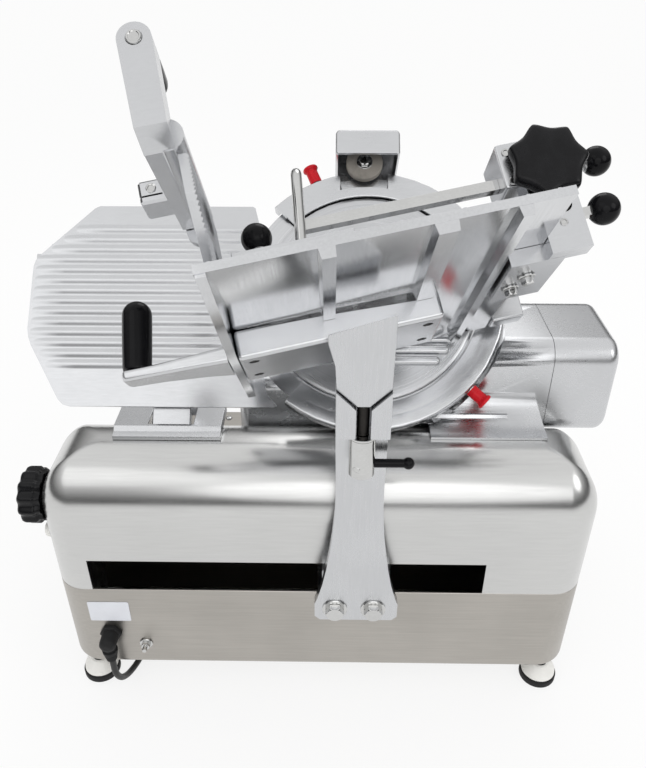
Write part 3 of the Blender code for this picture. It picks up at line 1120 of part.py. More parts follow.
def main():
    clear_scene()
    machine = empty("machine")
    turn = Matrix.Rotation(LEAN, 4, "X")
    knife_frame = empty("knife_frame", machine, at(KNIFE_X, KNIFE_Y, KNIFE_Z) @ turn)
    spin = empty("knife_axis", knife_frame)
    worm = empty("worm_axis", knife_frame, at(0.0, -CENTRE_DISTANCE, WHEEL_LEVEL))
    lift = empty("sharpener_slide", knife_frame)
    stone = empty("stone_axis", lift, at(STONE_X, STONE_U, 0.0))
    gauge = empty("gauge_slide", knife_frame)
    spot = knife_point(0.0, INDEX_U, INDEX_N)
    index = empty("index_axis", machine, at(0.0, spot.y, spot.z))
    start = empty("start_axis", machine, at(0.0, spot.y - 0.006, spot.z - 0.048))
    stop = empty("stop_axis", machine, at(0.0, spot.y + 0.026, spot.z - 0.048))
    carriage = empty("carriage_slide", machine)
    collar = empty("collar_axis", carriage, at(ARM_X, LOCK_Y, 0.0))
    corner = knife_point(TRAY_X, TRAY_U, TRAY_N)
    tray = empty("tray_frame", carriage, at(*corner) @ turn @ Matrix.Rotation(TRAY_TURN, 4, "Z"))
    press = empty("press_axis", tray, at(PRESS_T, PRESS_W, 0.0))
    feed = empty("feed_slide", tray)
    bar_slide = empty("bar_slide", feed)
    star = empty("star_axis", feed, at(STAR_T, STAR_W, BAR_N))
    lever = empty("lever_axis", feed, at(FEED_T, FEED_W, 0.0))

    build_base(machine, knife_frame)
    build_pedestal(machine, knife_frame)
    build_ring(knife_frame)
    build_knife(knife_frame, spin, worm)
    build_knife_cover(knife_frame)
    build_sharpener(knife_frame, lift, stone)
    build_gauge(machine, knife_frame, gauge, index)
    build_buttons(start, stop)
    build_carriage(carriage, collar, tray)
    build_tray(tray)
    build_press(tray, press)
    build_feed(tray, feed, bar_slide, star, lever)
    build_cord(machine)
    centre_on_origin(machine, ("cord_coil", "mains_plug"))


main()
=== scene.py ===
import json
import math

import bmesh
import bpy
from bpy.props import FloatProperty, FloatVectorProperty, IntProperty, PointerProperty
from mathutils import Matrix, Vector


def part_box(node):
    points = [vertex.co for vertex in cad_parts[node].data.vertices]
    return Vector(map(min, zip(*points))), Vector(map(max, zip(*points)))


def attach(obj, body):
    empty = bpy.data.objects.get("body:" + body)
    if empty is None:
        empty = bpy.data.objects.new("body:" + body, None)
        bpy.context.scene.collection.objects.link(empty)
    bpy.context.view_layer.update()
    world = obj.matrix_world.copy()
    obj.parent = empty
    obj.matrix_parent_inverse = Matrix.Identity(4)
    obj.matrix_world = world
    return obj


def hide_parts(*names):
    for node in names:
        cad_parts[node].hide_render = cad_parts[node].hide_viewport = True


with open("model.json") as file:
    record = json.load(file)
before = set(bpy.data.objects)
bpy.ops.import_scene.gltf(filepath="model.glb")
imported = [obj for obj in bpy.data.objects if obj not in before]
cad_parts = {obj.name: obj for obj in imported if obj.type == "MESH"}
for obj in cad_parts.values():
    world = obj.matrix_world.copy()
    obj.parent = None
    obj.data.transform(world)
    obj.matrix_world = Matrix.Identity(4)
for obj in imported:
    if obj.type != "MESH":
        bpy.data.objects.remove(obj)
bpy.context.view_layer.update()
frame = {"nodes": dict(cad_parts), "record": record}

bl_info = {
    "name": "Gravity-feed meat slicer",
    "version": (1, 0, 0),
    "blender": (4, 5, 0),
    "location": "View3D > Sidebar > Slicer",
    "description": "Finishes the solids of a gravity-feed meat slicer and sets them in a studio",
    "category": "Object",
}

BODY_OF = {
    node: body
    for body, nodes in frame["record"]["behaviour"]["bodies"].items()
    for node in nodes
}

# The machine's own axes: its corner on the pan, the knife plane and the tray
PAN_LOW, PAN_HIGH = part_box("base_pan")
COVER_LOW, COVER_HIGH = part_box("front_cover")
HOME = Vector(((PAN_LOW.x + PAN_HIGH.x) / 2.0, PAN_LOW.y, 0.0))
KNIFE_CENTRE = (0.0566, 0.183, 0.479)
KNIFE_LEAN = math.pi / 4
TRAY_CORNER = (0.1004, -0.0489, 0.0202)
TRAY_TURN = math.radians(13)
MACHINE = Matrix.Translation(HOME)
KNIFE = MACHINE @ Matrix.Translation(KNIFE_CENTRE) @ Matrix.Rotation(KNIFE_LEAN, 4, "X")
TRAY = KNIFE @ Matrix.Translation(TRAY_CORNER) @ Matrix.Rotation(TRAY_TURN, 4, "Z")

# How a grain lies: level, on the knife plane or on the tray
FLAT = (0.0, 0.0, 0.0)
ON_KNIFE = (-KNIFE_LEAN, 0.0, 0.0)
ON_TRAY = (-KNIFE_LEAN, 0.0, -TRAY_TURN)

# Turns that point a piece's axis along X or Y, or back along them
ALONG_X = Matrix.Rotation(math.pi / 2, 4, "Y")
ALONG_Y = Matrix.Rotation(-math.pi / 2, 4, "X")
BACK_X = Matrix.Rotation(-math.pi / 2, 4, "Y")
BACK_Y = Matrix.Rotation(math.pi / 2, 4, "X")

SHEET = 0.0025  # thickness of the stainless sheet and the motor shell
LEAD_GAP = 0.00025  # air between two turns of the lead
HARD = 42.0  # corners sharper than this many degrees stay hard
FLOOR_WHITE = 0.80  # share of plain white in the floor; the rest takes the shadow

# Mains lead: corners of its run from the gland, in the machine's axes
LEAD_RUN = (
    (-0.258, -0.016, 0.0747),
    (-0.258, -0.016, 0.060),
    (-0.2576, -0.0152, 0.046),
    (-0.256, -0.010, 0.031),
    (-0.254, 0.001, 0.0175),
    (-0.250, 0.018, 0.0080),
    (-0.244, 0.040, 0.0048),
    (-0.236, 0.074, 0.0046),
    (-0.222, 0.130, 0.0046),
    (-0.205, 0.190, 0.0046),
    (-0.190, 0.250, 0.0046),
    (-0.176, 0.310, 0.0046),
    (-0.158, 0.365, 0.0046),
    (-0.136, 0.412, 0.0046),
    (-0.1205, 0.440, 0.0046),
)

# The photograph's camera in the machine's axes, worked out for its 646 x 768 frame
CAMERA_SPOT = Vector((0.0144, -0.6117, 0.8639))
CAMERA_PITCH = math.radians(90.0 - 32.48)
CAMERA_YAW = math.radians(0.82)
SENSOR = 36.0
FRAME_HEIGHT = 768.0
FOCAL_PIXELS = 742.5
FOCAL = FOCAL_PIXELS / FRAME_HEIGHT * SENSOR


def linear(code):
    """Turns an sRGB hex value into linear colour."""
    parts = [int(code[k:k + 2], 16) / 255.0 for k in (0, 2, 4)]
    return tuple(p / 12.92 if p <= 0.04045 else ((p + 0.055) / 1.055) ** 2.4 for p in parts)


def colour_setting(name, code, description):
    return FloatVectorProperty(
        name=name, description=description, default=linear(code), size=3, min=0.0, max=1.0, subtype="COLOR"
    )


def length_setting(name, value, description):
    return FloatProperty(
        name=name, description=description, default=value, min=0.0, unit="LENGTH", precision=5
    )


class SlicerSizes(bpy.types.PropertyGroup):
    """Sizes of what the scene adds to the solids."""

    lead_diameter: length_setting("Lead diameter", 0.008, "Outside diameter of the mains lead")
    coil_radius: length_setting("Coil radius", 0.0402, "Radius of the coil's inner turns")
    bolt_flats: length_setting("Bolt flats", 0.0185, "Width across flats of the two carriage bolts")
    washer: length_setting("Washer", 0.0142, "Radius of the washers under the carriage bolts")
    ball: length_setting("Ball", 0.0140, "Radius of the ball knobs")
    sides: IntProperty(name="Sides", description="Sides of a turned piece", default=64, min=16, max=128)


class SlicerColours(bpy.types.PropertyGroup):
    """Colours of the finishes."""

    pan: colour_setting("Pan", "B6B2AC", "Brushed stainless sheet of the lower pan")
    cover: colour_setting("Cover", "CFCFCE", "Satin stainless sheet of the front housing")
    alloy: colour_setting("Alloy", "CDCED0", "Anodised aluminium castings")
    tray: colour_setting("Tray", "D3D4D6", "Polished aluminium extrusion of the tray")
    nickel: colour_setting("Nickel", "CDCDCC", "Nickel-plated steel of bolts and rods")
    blade: colour_setting("Blade", "D6D7D9", "Ground tool steel of the knife")
    black: colour_setting("Black", "0E0E10", "Moulded phenolic of grips and knobs")
    red: colour_setting("Red", "C2121F", "Moulded nylon of the two pull knobs")
    white: colour_setting("White", "E6E5E1", "Moulded nylon of the foot discs and the start button")


# ---------------------------------------------------------------- shapes


def keep_hard(item):
    """Weighs the normals of a smooth piece, so that its hard corners stay hard."""
    weight = item.modifiers.new("normals", "WEIGHTED_NORMAL")
    weight.keep_sharp = True


def close(name, shape, *finishes, sharp=HARD, flip=True):
    """Turns a bmesh into a smooth object whose hard corners stay hard."""
    if flip:
        bmesh.ops.recalc_face_normals(shape, faces=shape.faces)
    mesh = bpy.data.meshes.new(name)
    shape.to_mesh(mesh)
    shape.free()
    for face in mesh.polygons:
        face.use_smooth = True
    mesh.set_sharp_from_angle(angle=math.radians(sharp))
    item = bpy.data.objects.new(name, mesh)
    bpy.context.scene.collection.objects.link(item)
    for made in finishes:
        mesh.materials.append(made)
    keep_hard(item)
    return item


def add_rings(shape, loops, slots=None, ring=False):
    """Skins a row of loops, with a cap on each end unless the row closes on itself."""
    rows = [[shape.verts.new(point) for point in loop] for loop in loops]
    pairs = list(zip(rows, rows[1:]))
    if ring:
        pairs.append((rows[-1], rows[0]))
    for step, (low, high) in enumerate(pairs):
        for k in range(len(low)):
            nxt = (k + 1) % len(low)
            face = shape.faces.new((low[k], low[nxt], high[nxt], high[k]))
            face.material_index = slots[step] if slots else 0
    if not ring:
        shape.faces.new(rows[0]).material_index = slots[0] if slots else 0
        shape.faces.new(rows[-1]).material_index = slots[-1] if slots else 0


def hexagon(angle):
    """Distance to a hexagon's side as a share of its flat radius."""
    return 1.0 / math.cos((angle % (math.pi / 3.0)) - math.pi / 6.0)


def lobed(count, depth):
    return lambda angle: 1.0 - depth + depth * math.cos(count * angle)


def scalloped(count, depth):
    return lambda angle: 1.0 - depth * math.sqrt(math.sin(count * angle / 2.0) ** 2 + 0.02)


def add_turned(shape, place, profile, sides=48, slots=None, ring=False):
    """Turns a profile of (radius, height[, outline]) about the local Z axis."""
    loops = []
    for entry in profile:
        radius, height = entry[:2]
        outline = entry[2] if len(entry) > 2 else None
        loop = []
        for k in range(sides):
            angle = math.tau * k / sides
            reach = radius * (outline(angle) if outline else 1.0)
            loop.append(place @ Vector((reach * math.cos(angle), reach * math.sin(angle), height)))
        loops.append(loop)
    add_rings(shape, loops, slots, ring)


def turned(name, place, profile, *finishes, sides=64, slots=None, ring=False, sharp=HARD):
    shape = bmesh.new()
    add_turned(shape, place, profile, sides, slots, ring)
    return close(name, shape, *finishes, sharp=sharp)


def skinned(name, loops, made, ring=False):
    shape = bmesh.new()
    add_rings(shape, loops, ring=ring)
    return close(name, shape, made)


def at(axes, *spot):
    """Axes moved to a spot that is given in them."""
    return axes @ Matrix.Translation(spot)


def second_slot(shape, first):
    """Gives the second finish to the faces that came after the first ones."""
    shape.faces.ensure_lookup_table()
    for face in list(shape.faces)[first:]:
        face.material_index = 1


def rounded(half_a, half_b, radius, steps, centre=(0.0, 0.0)):
    """Outline of a rectangle with round corners."""
    points = []
    for quarter, (sign_a, sign_b) in enumerate(((1, 1), (-1, 1), (-1, -1), (1, -1))):
        for k in range(steps + 1):
            angle = math.pi / 2.0 * (quarter + k / steps)
            a = centre[0] + sign_a * (half_a - radius) + radius * math.cos(angle)
            b = centre[1] + sign_b * (half_b - radius) + radius * math.sin(angle)
            points.append((a, b))
    return points


def add_box(shape, place, low, high):
    loops = []
    for z in (low[2], high[2]):
        corners = ((low[0], low[1]), (high[0], low[1]), (high[0], high[1]), (low[0], high[1]))
        loops.append([place @ Vector((x, y, z)) for x, y in corners])
    add_rings(shape, loops)


def ball(radius, centre, start, steps=14):
    """Profile of a ball from the height where its neck meets it up to its crown."""
    first = math.asin(max(-1.0, (start - centre) / radius))
    crown = math.radians(88.0)
    points = []
    for k in range(steps + 1):
        angle = first + (crown - first) * k / steps
        points.append((radius * math.cos(angle), centre + radius * math.sin(angle)))
    return points


def shell_loops(nose, count, section, mouth):
    """Loops of a sheet shell with a round nose: outside down to its mouth, then inside back up.

    section gives the loop at an inset and a rise, and mouth the loop at the open end.
    """
    loops = []
    for wall, order in ((0.0, range(count, -1, -1)), (SHEET, range(count + 1))):
        ring = []
        for k in order:
            angle = math.pi / 2.0 * k / count
            inset = wall + (nose - wall) * (1.0 - math.cos(angle))
            ring.append(section(inset, (nose - wall) * math.sin(angle)))
        loops += ring + [mouth(wall)] if wall == 0.0 else [mouth(wall)] + ring
    return loops


def swept_loops(first, span, count, corners):
    """Loops of a section of (radius, height) corners carried round the knife's axis."""
    loops = []
    for k in range(count + 1):
        degrees = first + span * k / count
        angle = math.radians(degrees)
        spoke = Vector((math.cos(angle), math.sin(angle), 0.0))
        loops.append([KNIFE @ (spoke * r + Vector((0.0, 0.0, n))) for r, n in corners(degrees)])
    return loops


def add_hex_bolt(shape, place, flats, height, washer):
    """Hexagon head with a chamfer on a washer, standing on the local XY plane."""
    base = 0.0020
    top = base + height
    half = flats / 2.0
    disc = [(washer - 0.0004, 0.0001), (washer, 0.0005), (washer, 0.0016), (washer - 0.0005, 0.0021)]
    add_turned(shape, place, disc + [(flats * 0.3, 0.0021)], 48)
    head = [(half * 0.98, base), (half, base + 0.0006, hexagon), (half, top - 0.0014, hexagon)]
    head += [(half * 0.99, top - 0.0002), (half * 0.86, top), (half * 0.2, top)]
    add_turned(shape, place, head, 48)


def add_socket_screw(shape, place, radius, height):
    """Cap screw with a hexagon socket, standing on the local XY plane."""
    key = radius * 0.52
    head = [(radius, 0.0), (radius, height - 0.0006), (radius - 0.0006, height), (key * 1.18, height)]
    head += [(key, height - 0.0003, hexagon), (key, height * 0.45, hexagon)]
    add_turned(shape, place, head, 48)


def carve(item, cutters):
    """Cuts the cutter shapes out of a piece for good."""
    for number, shape in enumerate(cutters):
        tool = close("cutter_%d" % number, shape)
        change = item.modifiers.new("cut", "BOOLEAN")
        change.operation = "DIFFERENCE"
        change.solver = "EXACT"
        change.object = tool
        bpy.context.view_layer.update()
        graph = bpy.context.evaluated_depsgraph_get()
        done = bpy.data.meshes.new_from_object(item.evaluated_get(graph))
        item.modifiers.clear()
        item.data = done
        bpy.data.objects.remove(tool)
    item.data.set_sharp_from_angle(angle=math.radians(HARD))
    keep_hard(item)


def stand_for(piece, node):
    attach(piece, BODY_OF[node])
    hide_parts(node)


def finished(node, made, edge):
    """A copy of one solid with its edges broken, which stands for it."""
    weld, flat, corner = 3e-6, math.radians(0.6), math.radians(33.0)
    shape = bmesh.new()
    shape.from_mesh(frame["nodes"][node].data)
    for layer in list(shape.loops.layers.uv.values()):
        shape.loops.layers.uv.remove(layer)
    bmesh.ops.remove_doubles(shape, verts=shape.verts, dist=weld)
    bmesh.ops.dissolve_limit(shape, angle_limit=flat, verts=shape.verts, edges=shape.edges)
    corners = [e for e in shape.edges if e.is_manifold and e.calc_face_angle() > corner]
    if corners:
        bmesh.ops.bevel(
            shape, geom=corners, offset=edge, segments=2, profile=0.5, affect="EDGES", clamp_overlap=True
        )
    for face in shape.faces:
        face.material_index = 0
    piece = close(node + ".finished", shape, made)
    if "custom_normal" in piece.data.attributes:
        piece.data.attributes.remove(piece.data.attributes["custom_normal"])
    stand_for(piece, node)
    return piece


# ---------------------------------------------------------------- finishes


def add_node(tree, kind, values=(), **settings):
    """Adds one node; values sets or links its inputs."""
    made = tree.nodes.new(kind)
    for key, value in settings.items():
        setattr(made, key, value)
    for key, value in dict(values).items():
        if isinstance(value, bpy.types.NodeSocket):
            tree.links.new(value, made.inputs[key])
        else:
            made.inputs[key].default_value = value
    return made


def new_finish(name):
    made = bpy.data.materials.new(name)
    made.use_nodes = True
    return made, made.node_tree, made.node_tree.nodes["Principled BSDF"]


def per_mm(sizes):
    """Scale that makes one noise cell as long as each size in millimetres."""
    return tuple(1000.0 / size for size in sizes)


def combine(tree, operation, first, second):
    return add_node(tree, "ShaderNodeMath", {0: first, 1: second}, operation=operation).outputs[0]


def noise(tree, spot, scale, detail, **more):
    values = {"Vector": spot, "Scale": scale, "Detail": detail, **more}
    return add_node(tree, "ShaderNodeTexNoise", values).outputs["Fac"]


def map_range(tree, value, low, high, first=0.0, last=1.0):
    """Carries a value from the range low to high over to the range first to last."""
    ends = {"Value": value, "From Min": low, "From Max": high, "To Min": first, "To Max": last}
    return add_node(tree, "ShaderNodeMapRange", ends).outputs["Result"]


def mix_tones(tree, share, low, high):
    tones = {0: share, 6: (*low, 1.0), 7: (*high, 1.0)}
    return add_node(tree, "ShaderNodeMix", tones, data_type="RGBA").outputs[2]


def mix_levels(tree, share, low, high):
    return add_node(tree, "ShaderNodeMix", {0: share, 2: low, 3: high}, data_type="FLOAT").outputs[0]


def lay_on(tree, shader, paint, gloss, grain, bump, depth):
    """Links colour, roughness and a fine relief to a finish's shader."""
    relief = add_node(tree, "ShaderNodeBump", {"Height": grain, "Strength": bump, "Distance": depth})
    tree.links.new(paint, shader.inputs["Base Color"])
    tree.links.new(gloss, shader.inputs["Roughness"])
    tree.links.new(relief.outputs["Normal"], shader.inputs["Normal"])


def drawn_metal(name, tone, rough, streak, cloud, lie=FLAT, deep=0.86, bump=0.025, spread=0.06):
    """Metal with a drawn grain: fine parallel streaks over broad soft clouds."""
    made, tree, shader = new_finish(name)
    spot = add_node(tree, "ShaderNodeTexCoord").outputs["Object"]
    level = add_node(tree, "ShaderNodeMapping", {"Vector": spot, "Rotation": lie}).outputs["Vector"]
    along = add_node(tree, "ShaderNodeMapping", {"Vector": level, "Scale": per_mm(streak)}).outputs["Vector"]
    grain = noise(tree, along, 1.0, 4.0, Roughness=0.62)
    both = combine(tree, "ADD", grain, noise(tree, level, 1000.0 / cloud, 3.0))
    low = tuple(c * deep for c in tone)
    paint = mix_tones(tree, map_range(tree, both, 0.72, 1.28), low, tone)
    gloss = map_range(tree, both, 0.7, 1.3, rough + spread / 2, rough - spread / 2)
    shader.inputs["Metallic"].default_value = 1.0
    lay_on(tree, shader, paint, gloss, grain, bump, 0.0004)
    return made


def turned_metal(name, tone, rough, pitch):
    """Metal ground on a turntable: rings about the knife's axis."""
    made, tree, shader = new_finish(name)
    spot = add_node(tree, "ShaderNodeTexCoord").outputs["Object"]
    centre = tuple(KNIFE.translation)
    moved = add_node(tree, "ShaderNodeVectorMath", {0: spot, 1: centre}, operation="SUBTRACT").outputs[0]
    level = add_node(tree, "ShaderNodeMapping", {"Vector": moved, "Rotation": ON_KNIFE}).outputs["Vector"]
    parts = add_node(tree, "ShaderNodeSeparateXYZ", {0: level}).outputs
    flat = add_node(tree, "ShaderNodeCombineXYZ", {0: parts[0], 1: parts[1]}).outputs[0]
    reach = add_node(tree, "ShaderNodeVectorMath", {0: flat}, operation="LENGTH").outputs["Value"]
    turns = {"W": reach, "Scale": 1000.0 / pitch, "Detail": 3.0}
    rings = add_node(tree, "ShaderNodeTexNoise", turns, noise_dimensions="1D").outputs["Fac"]
    both = combine(tree, "ADD", rings, noise(tree, level, 14.0, 3.0))
    low = tuple(c * 0.84 for c in tone)
    paint = mix_tones(tree, map_range(tree, both, 0.7, 1.3), low, tone)
    gloss = map_range(tree, both, 0.7, 1.3, rough + 0.05, rough - 0.05)
    shader.inputs["Metallic"].default_value = 1.0
    lay_on(tree, shader, paint, gloss, rings, 0.10, 0.0003)
    return made


def moulded(name, tone, rough, grain, worn, bump, shine=0.5, coat=0.0):
    """Moulded plastic or rubber: a fine skin grain, soft handling marks and small paler scuffs."""
    made, tree, shader = new_finish(name)
    spot = add_node(tree, "ShaderNodeTexCoord").outputs["Object"]
    skin = noise(tree, spot, 1000.0 / grain, 2.0)
    haze = noise(tree, spot, 45.0, 4.0, Roughness=0.65)
    pale = tuple(min(1.0, c * worn + 0.0015) for c in tone)
    paint = mix_tones(tree, map_range(tree, haze, 0.45, 0.75), tone, pale)
    gloss = map_range(tree, haze, 0.3, 0.7, rough - 0.05, rough + 0.10)
    shader.inputs["Specular IOR Level"].default_value = shine
    shader.inputs["Coat Weight"].default_value = coat
    shader.inputs["Coat Roughness"].default_value = 0.12
    lay_on(tree, shader, paint, gloss, skin, bump, 0.0003)
    return made


FINISH = {}


def make_finishes():
    """Each finish is made once; its grain is drawn coarser than life, so that it shows in the picture."""
    tones = bpy.context.scene.slicer_colours
    pan, cover, alloy = tuple(tones.pan), tuple(tones.cover), tuple(tones.alloy)
    tray, nickel, blade = tuple(tones.tray), tuple(tones.nickel), tuple(tones.blade)
    black, red, white = tuple(tones.black), tuple(tones.red), tuple(tones.white)
    FINISH.update(
        # Stainless sheet, belt-brushed along the pan: long fine streaks, soft stretched highlights
        pan=drawn_metal("stainless_sheet_brushed", pan, 0.34, (70, 1.6, 1.6), 110),
        # Stainless sheet, satin polished: nearly plain, broad soft reflections
        cover=drawn_metal("stainless_sheet_satin", cover, 0.23, (45, 2.2, 2.2), 160, deep=0.94, bump=0.02),
        # Aluminium castings, ground and anodised: short grain, matt sheen
        alloy=drawn_metal("aluminium_cast_anodised", alloy, 0.28, (7, 2.0, 2.0), 60, FLAT, 0.95),
        alloy_knife=drawn_metal(
            "aluminium_cast_anodised_knife", alloy, 0.25, (14, 2.0, 2.0), 70, ON_KNIFE, 0.95
        ),
        alloy_tray=drawn_metal("aluminium_milled_anodised", alloy, 0.24, (9, 1.8, 1.8), 60, ON_TRAY, 0.95),
        alloy_arm=drawn_metal("aluminium_plate_brushed", alloy, 0.28, (1.8, 1.8, 26), 70, FLAT, 0.94),
        # Aluminium extrusion, polished: drawn lines along its length, near-mirror flats
        tray=drawn_metal("aluminium_extrusion_polished", tray, 0.13, (1.8, 1.8, 60), 90, ON_TRAY, 0.9, 0.05),
        # Tool steel, ground flat and honed: rings about the shaft, bright edge
        blade=turned_metal("tool_steel_ground", blade, 0.20, 1.6),
        disc=turned_metal("aluminium_disc_turned", alloy, 0.30, 2.2),
        # Nickel plate on machined steel: smooth, small bright highlights
        nickel=drawn_metal(
            "steel_nickel_plated", nickel, 0.09, (3, 1.2, 1.2), 30, deep=0.9, bump=0.012, spread=0.04
        ),
        # Black-oxide steel: dark, oily sheen
        oxide=drawn_metal("steel_black_oxide", linear("3A3836"), 0.34, (3, 1.5, 1.5), 25, deep=0.7),
        # Bronze gear, hobbed and oiled
        bronze=drawn_metal("bronze_hobbed", linear("A9773C"), 0.34, (4, 1.5, 1.5), 25, deep=0.75),
        # Phenolic, compression moulded and buffed: deep gloss black with fine handling marks
        black=moulded("phenolic_moulded_gloss", black, 0.12, 1.2, 1.3, 0.02, 0.12),
        scuffed=moulded("phenolic_moulded_worn", black, 0.22, 1.5, 1.7, 0.08, 0.20),
        # Nylon, injection moulded: even colour, soft gloss
        red=moulded("nylon_moulded_red", red, 0.24, 1.4, 1.15, 0.04, 0.22),
        white=moulded("nylon_moulded_white", white, 0.42, 1.6, 0.93, 0.05),
        # Lacquered foil of the bare plate: pale, dull
        plate=moulded("aluminium_foil_lacquered", linear("D6D8DE"), 0.40, 1.6, 0.95, 0.02),
        # Rubber, moulded: dull black with a dusty bloom
        rubber=moulded("rubber_moulded", linear("171718"), 0.60, 1.4, 1.7, 0.12, 0.30),
        # Plastic sheath of the lead: smooth, half matt
        lead=moulded("pvc_extruded_black", linear("191919"), 0.46, 2.0, 1.7, 0.05),
        # Oxide grit in a hard bond: coarse, dull and speckled
        grit=moulded("oxide_grit_bonded", linear("8F8A83"), 0.88, 0.9, 0.6, 0.5),
        # Enamel on the motor shell
        enamel=moulded("enamel_sprayed_dark", linear("2A2C2F"), 0.35, 1.6, 1.5, 0.08, coat=0.1),
    )


# ---------------------------------------------------------------- operators


class SLICER_OT_stage(bpy.types.Operator):
    """Camera at the photograph's angle, pale floor and soft studio light."""

    bl_idname = "slicer.stage"
    bl_label = "Stage"

    def execute(self, context):
        scene = context.scene
        lens = bpy.data.cameras.new("camera")
        lens.sensor_fit = "VERTICAL"
        lens.sensor_height = SENSOR
        lens.lens = FOCAL
        lens.clip_start = 0.01
        camera = bpy.data.objects.new("camera", lens)
        camera.location = HOME + CAMERA_SPOT
        camera.rotation_euler = (CAMERA_PITCH, 0.0, CAMERA_YAW)
        scene.collection.objects.link(camera)
        scene.camera = camera
        scene.view_settings.view_transform = "Standard"

        shape = bmesh.new()
        bmesh.ops.create_grid(shape, x_segments=1, y_segments=1, size=14.0)
        made, tree, shader = new_finish("painted_floor_pale")
        ray = add_node(tree, "ShaderNodeLightPath").outputs
        seen = combine(tree, "MAXIMUM", ray["Is Camera Ray"], ray["Is Glossy Ray"])
        seen = combine(tree, "MAXIMUM", seen, ray["Is Transmission Ray"])
        share = combine(tree, "MULTIPLY", seen, FLOOR_WHITE)
        speck = add_node(tree, "ShaderNodeTexNoise", {"Scale": 3.0}).outputs["Fac"]
        paint = mix_tones(tree, speck, linear("F1F1F0"), linear("F6F6F5"))
        tree.links.new(paint, shader.inputs["Base Color"])
        shader.inputs["Roughness"].default_value = 0.9
        shader.inputs["Specular IOR Level"].default_value = 0.0
        glow = add_node(tree, "ShaderNodeEmission", {"Strength": 1.0}).outputs[0]
        blend = add_node(tree, "ShaderNodeMixShader", {0: share, 1: shader.outputs[0], 2: glow}).outputs[0]
        tree.links.new(blend, tree.nodes["Material Output"].inputs["Surface"])
        floor = close("floor", shape, made, flip=False)

        world = bpy.data.worlds.new("studio")
        world.use_nodes = True
        scene.world = world
        tree = world.node_tree
        back = tree.nodes["Background"]
        back.inputs["Color"].default_value = (*linear("FFFFFF"), 1.0)
        ray = add_node(tree, "ShaderNodeLightPath").outputs
        seen = combine(tree, "MAXIMUM", ray["Is Camera Ray"], ray["Is Transmission Ray"])
        way = add_node(tree, "ShaderNodeTexCoord").outputs["Generated"]
        height = add_node(tree, "ShaderNodeSeparateXYZ", {0: way}).outputs[2]
        # The room that metal mirrors: pale ceiling, greyer towards the horizon
        room = map_range(tree, height, 0.10, 0.75, 0.06, 0.98)
        mirror = mix_levels(tree, ray["Is Glossy Ray"], 0.95, room)
        level = mix_levels(tree, seen, mirror, 1.0)
        tree.links.new(level, back.inputs["Strength"])

        aim = Vector((0.0, 0.05, 0.4))
        for name, spot, size, power in (
            ("key", (-1.1, -1.3, 2.1), 1.6, 2.6),
            ("front", (0.2, -1.5, 1.1), 1.3, 4.5),
            ("fill", (1.5, -0.9, 1.5), 1.0, 4.0),
            ("rim", (0.3, 1.7, 1.9), 1.2, 5.0),
        ):
            lamp = bpy.data.lights.new(name, "AREA")
            lamp.shape = "DISK"
            lamp.size = size
            lamp.energy = power
            item = bpy.data.objects.new(name, lamp)
            item.location = Vector(spot)
            item.rotation_euler = (aim - item.location).to_track_quat("-Z", "Y").to_euler()
            scene.collection.objects.link(item)
        return {"FINISHED"}


def lead_points():
    """Run of the mains lead from the gland over the table, round the coil and across it to the plug."""
    sizes = bpy.context.scene.slicer_sizes
    pitch = sizes.lead_diameter + LEAD_GAP
    low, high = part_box("cord_coil")
    middle = (low + high) / 2.0
    plug_low, plug_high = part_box("mains_plug")
    points = [HOME + Vector(spot) for spot in LEAD_RUN]
    inner = sizes.coil_radius
    outer = inner + pitch
    ground = LEAD_RUN[-1][2]
    step, last = 15.0, 1032.0
    for k in range(int(last / step) + 1):
        turn = k * step
        if turn <= 90.0:
            reach = outer + pitch * (1.0 - turn / 90.0)
        elif turn <= 360.0:
            reach = outer
        elif turn <= 450.0:
            reach = outer - pitch * (turn - 360.0) / 90.0
        else:
            reach = inner
        rise = min(max((turn - 610.0) / 110.0, 0.0), 1.0) + min(max((turn - 970.0) / 110.0, 0.0), 1.0)
        angle = math.pi - math.radians(turn)
        spot = Vector((reach * math.cos(angle), reach * math.sin(angle), 0.0))
        points.append(Vector((middle.x, middle.y, ground + pitch * rise)) + spot)
    # Across the coil in one bend, then straight into the plug
    bend = 0.033
    top = ground + pitch * 2.0
    start = points[-1]
    ahead = (points[-1] - points[-2]).normalized()
    heading = math.atan2(ahead.y, ahead.x)
    hub = Vector((start.x + bend * math.sin(heading), start.y - bend * math.cos(heading), 0.0))
    count = 9
    for k in range(1, count + 1):
        way = heading * (1.0 - k / count)
        z = start.z + (top - start.z) * min(1.0, k / 4.0)
        points.append(Vector((hub.x - bend * math.sin(way), hub.y + bend * math.cos(way), z)))
    end = Vector((plug_low.x + 0.004, (plug_low.y + plug_high.y) / 2.0, (plug_low.z + plug_high.z) / 2.0))
    begin = points[-1]
    for k in range(1, 4):
        share = k / 3.0
        ease = share * share * (3.0 - 2.0 * share)
        spot = (
            begin.x + (end.x - begin.x) * share,
            begin.y + (end.y - begin.y) * ease,
            begin.z + (end.z - begin.z) * ease,
        )
        points.append(Vector(spot))
    return points


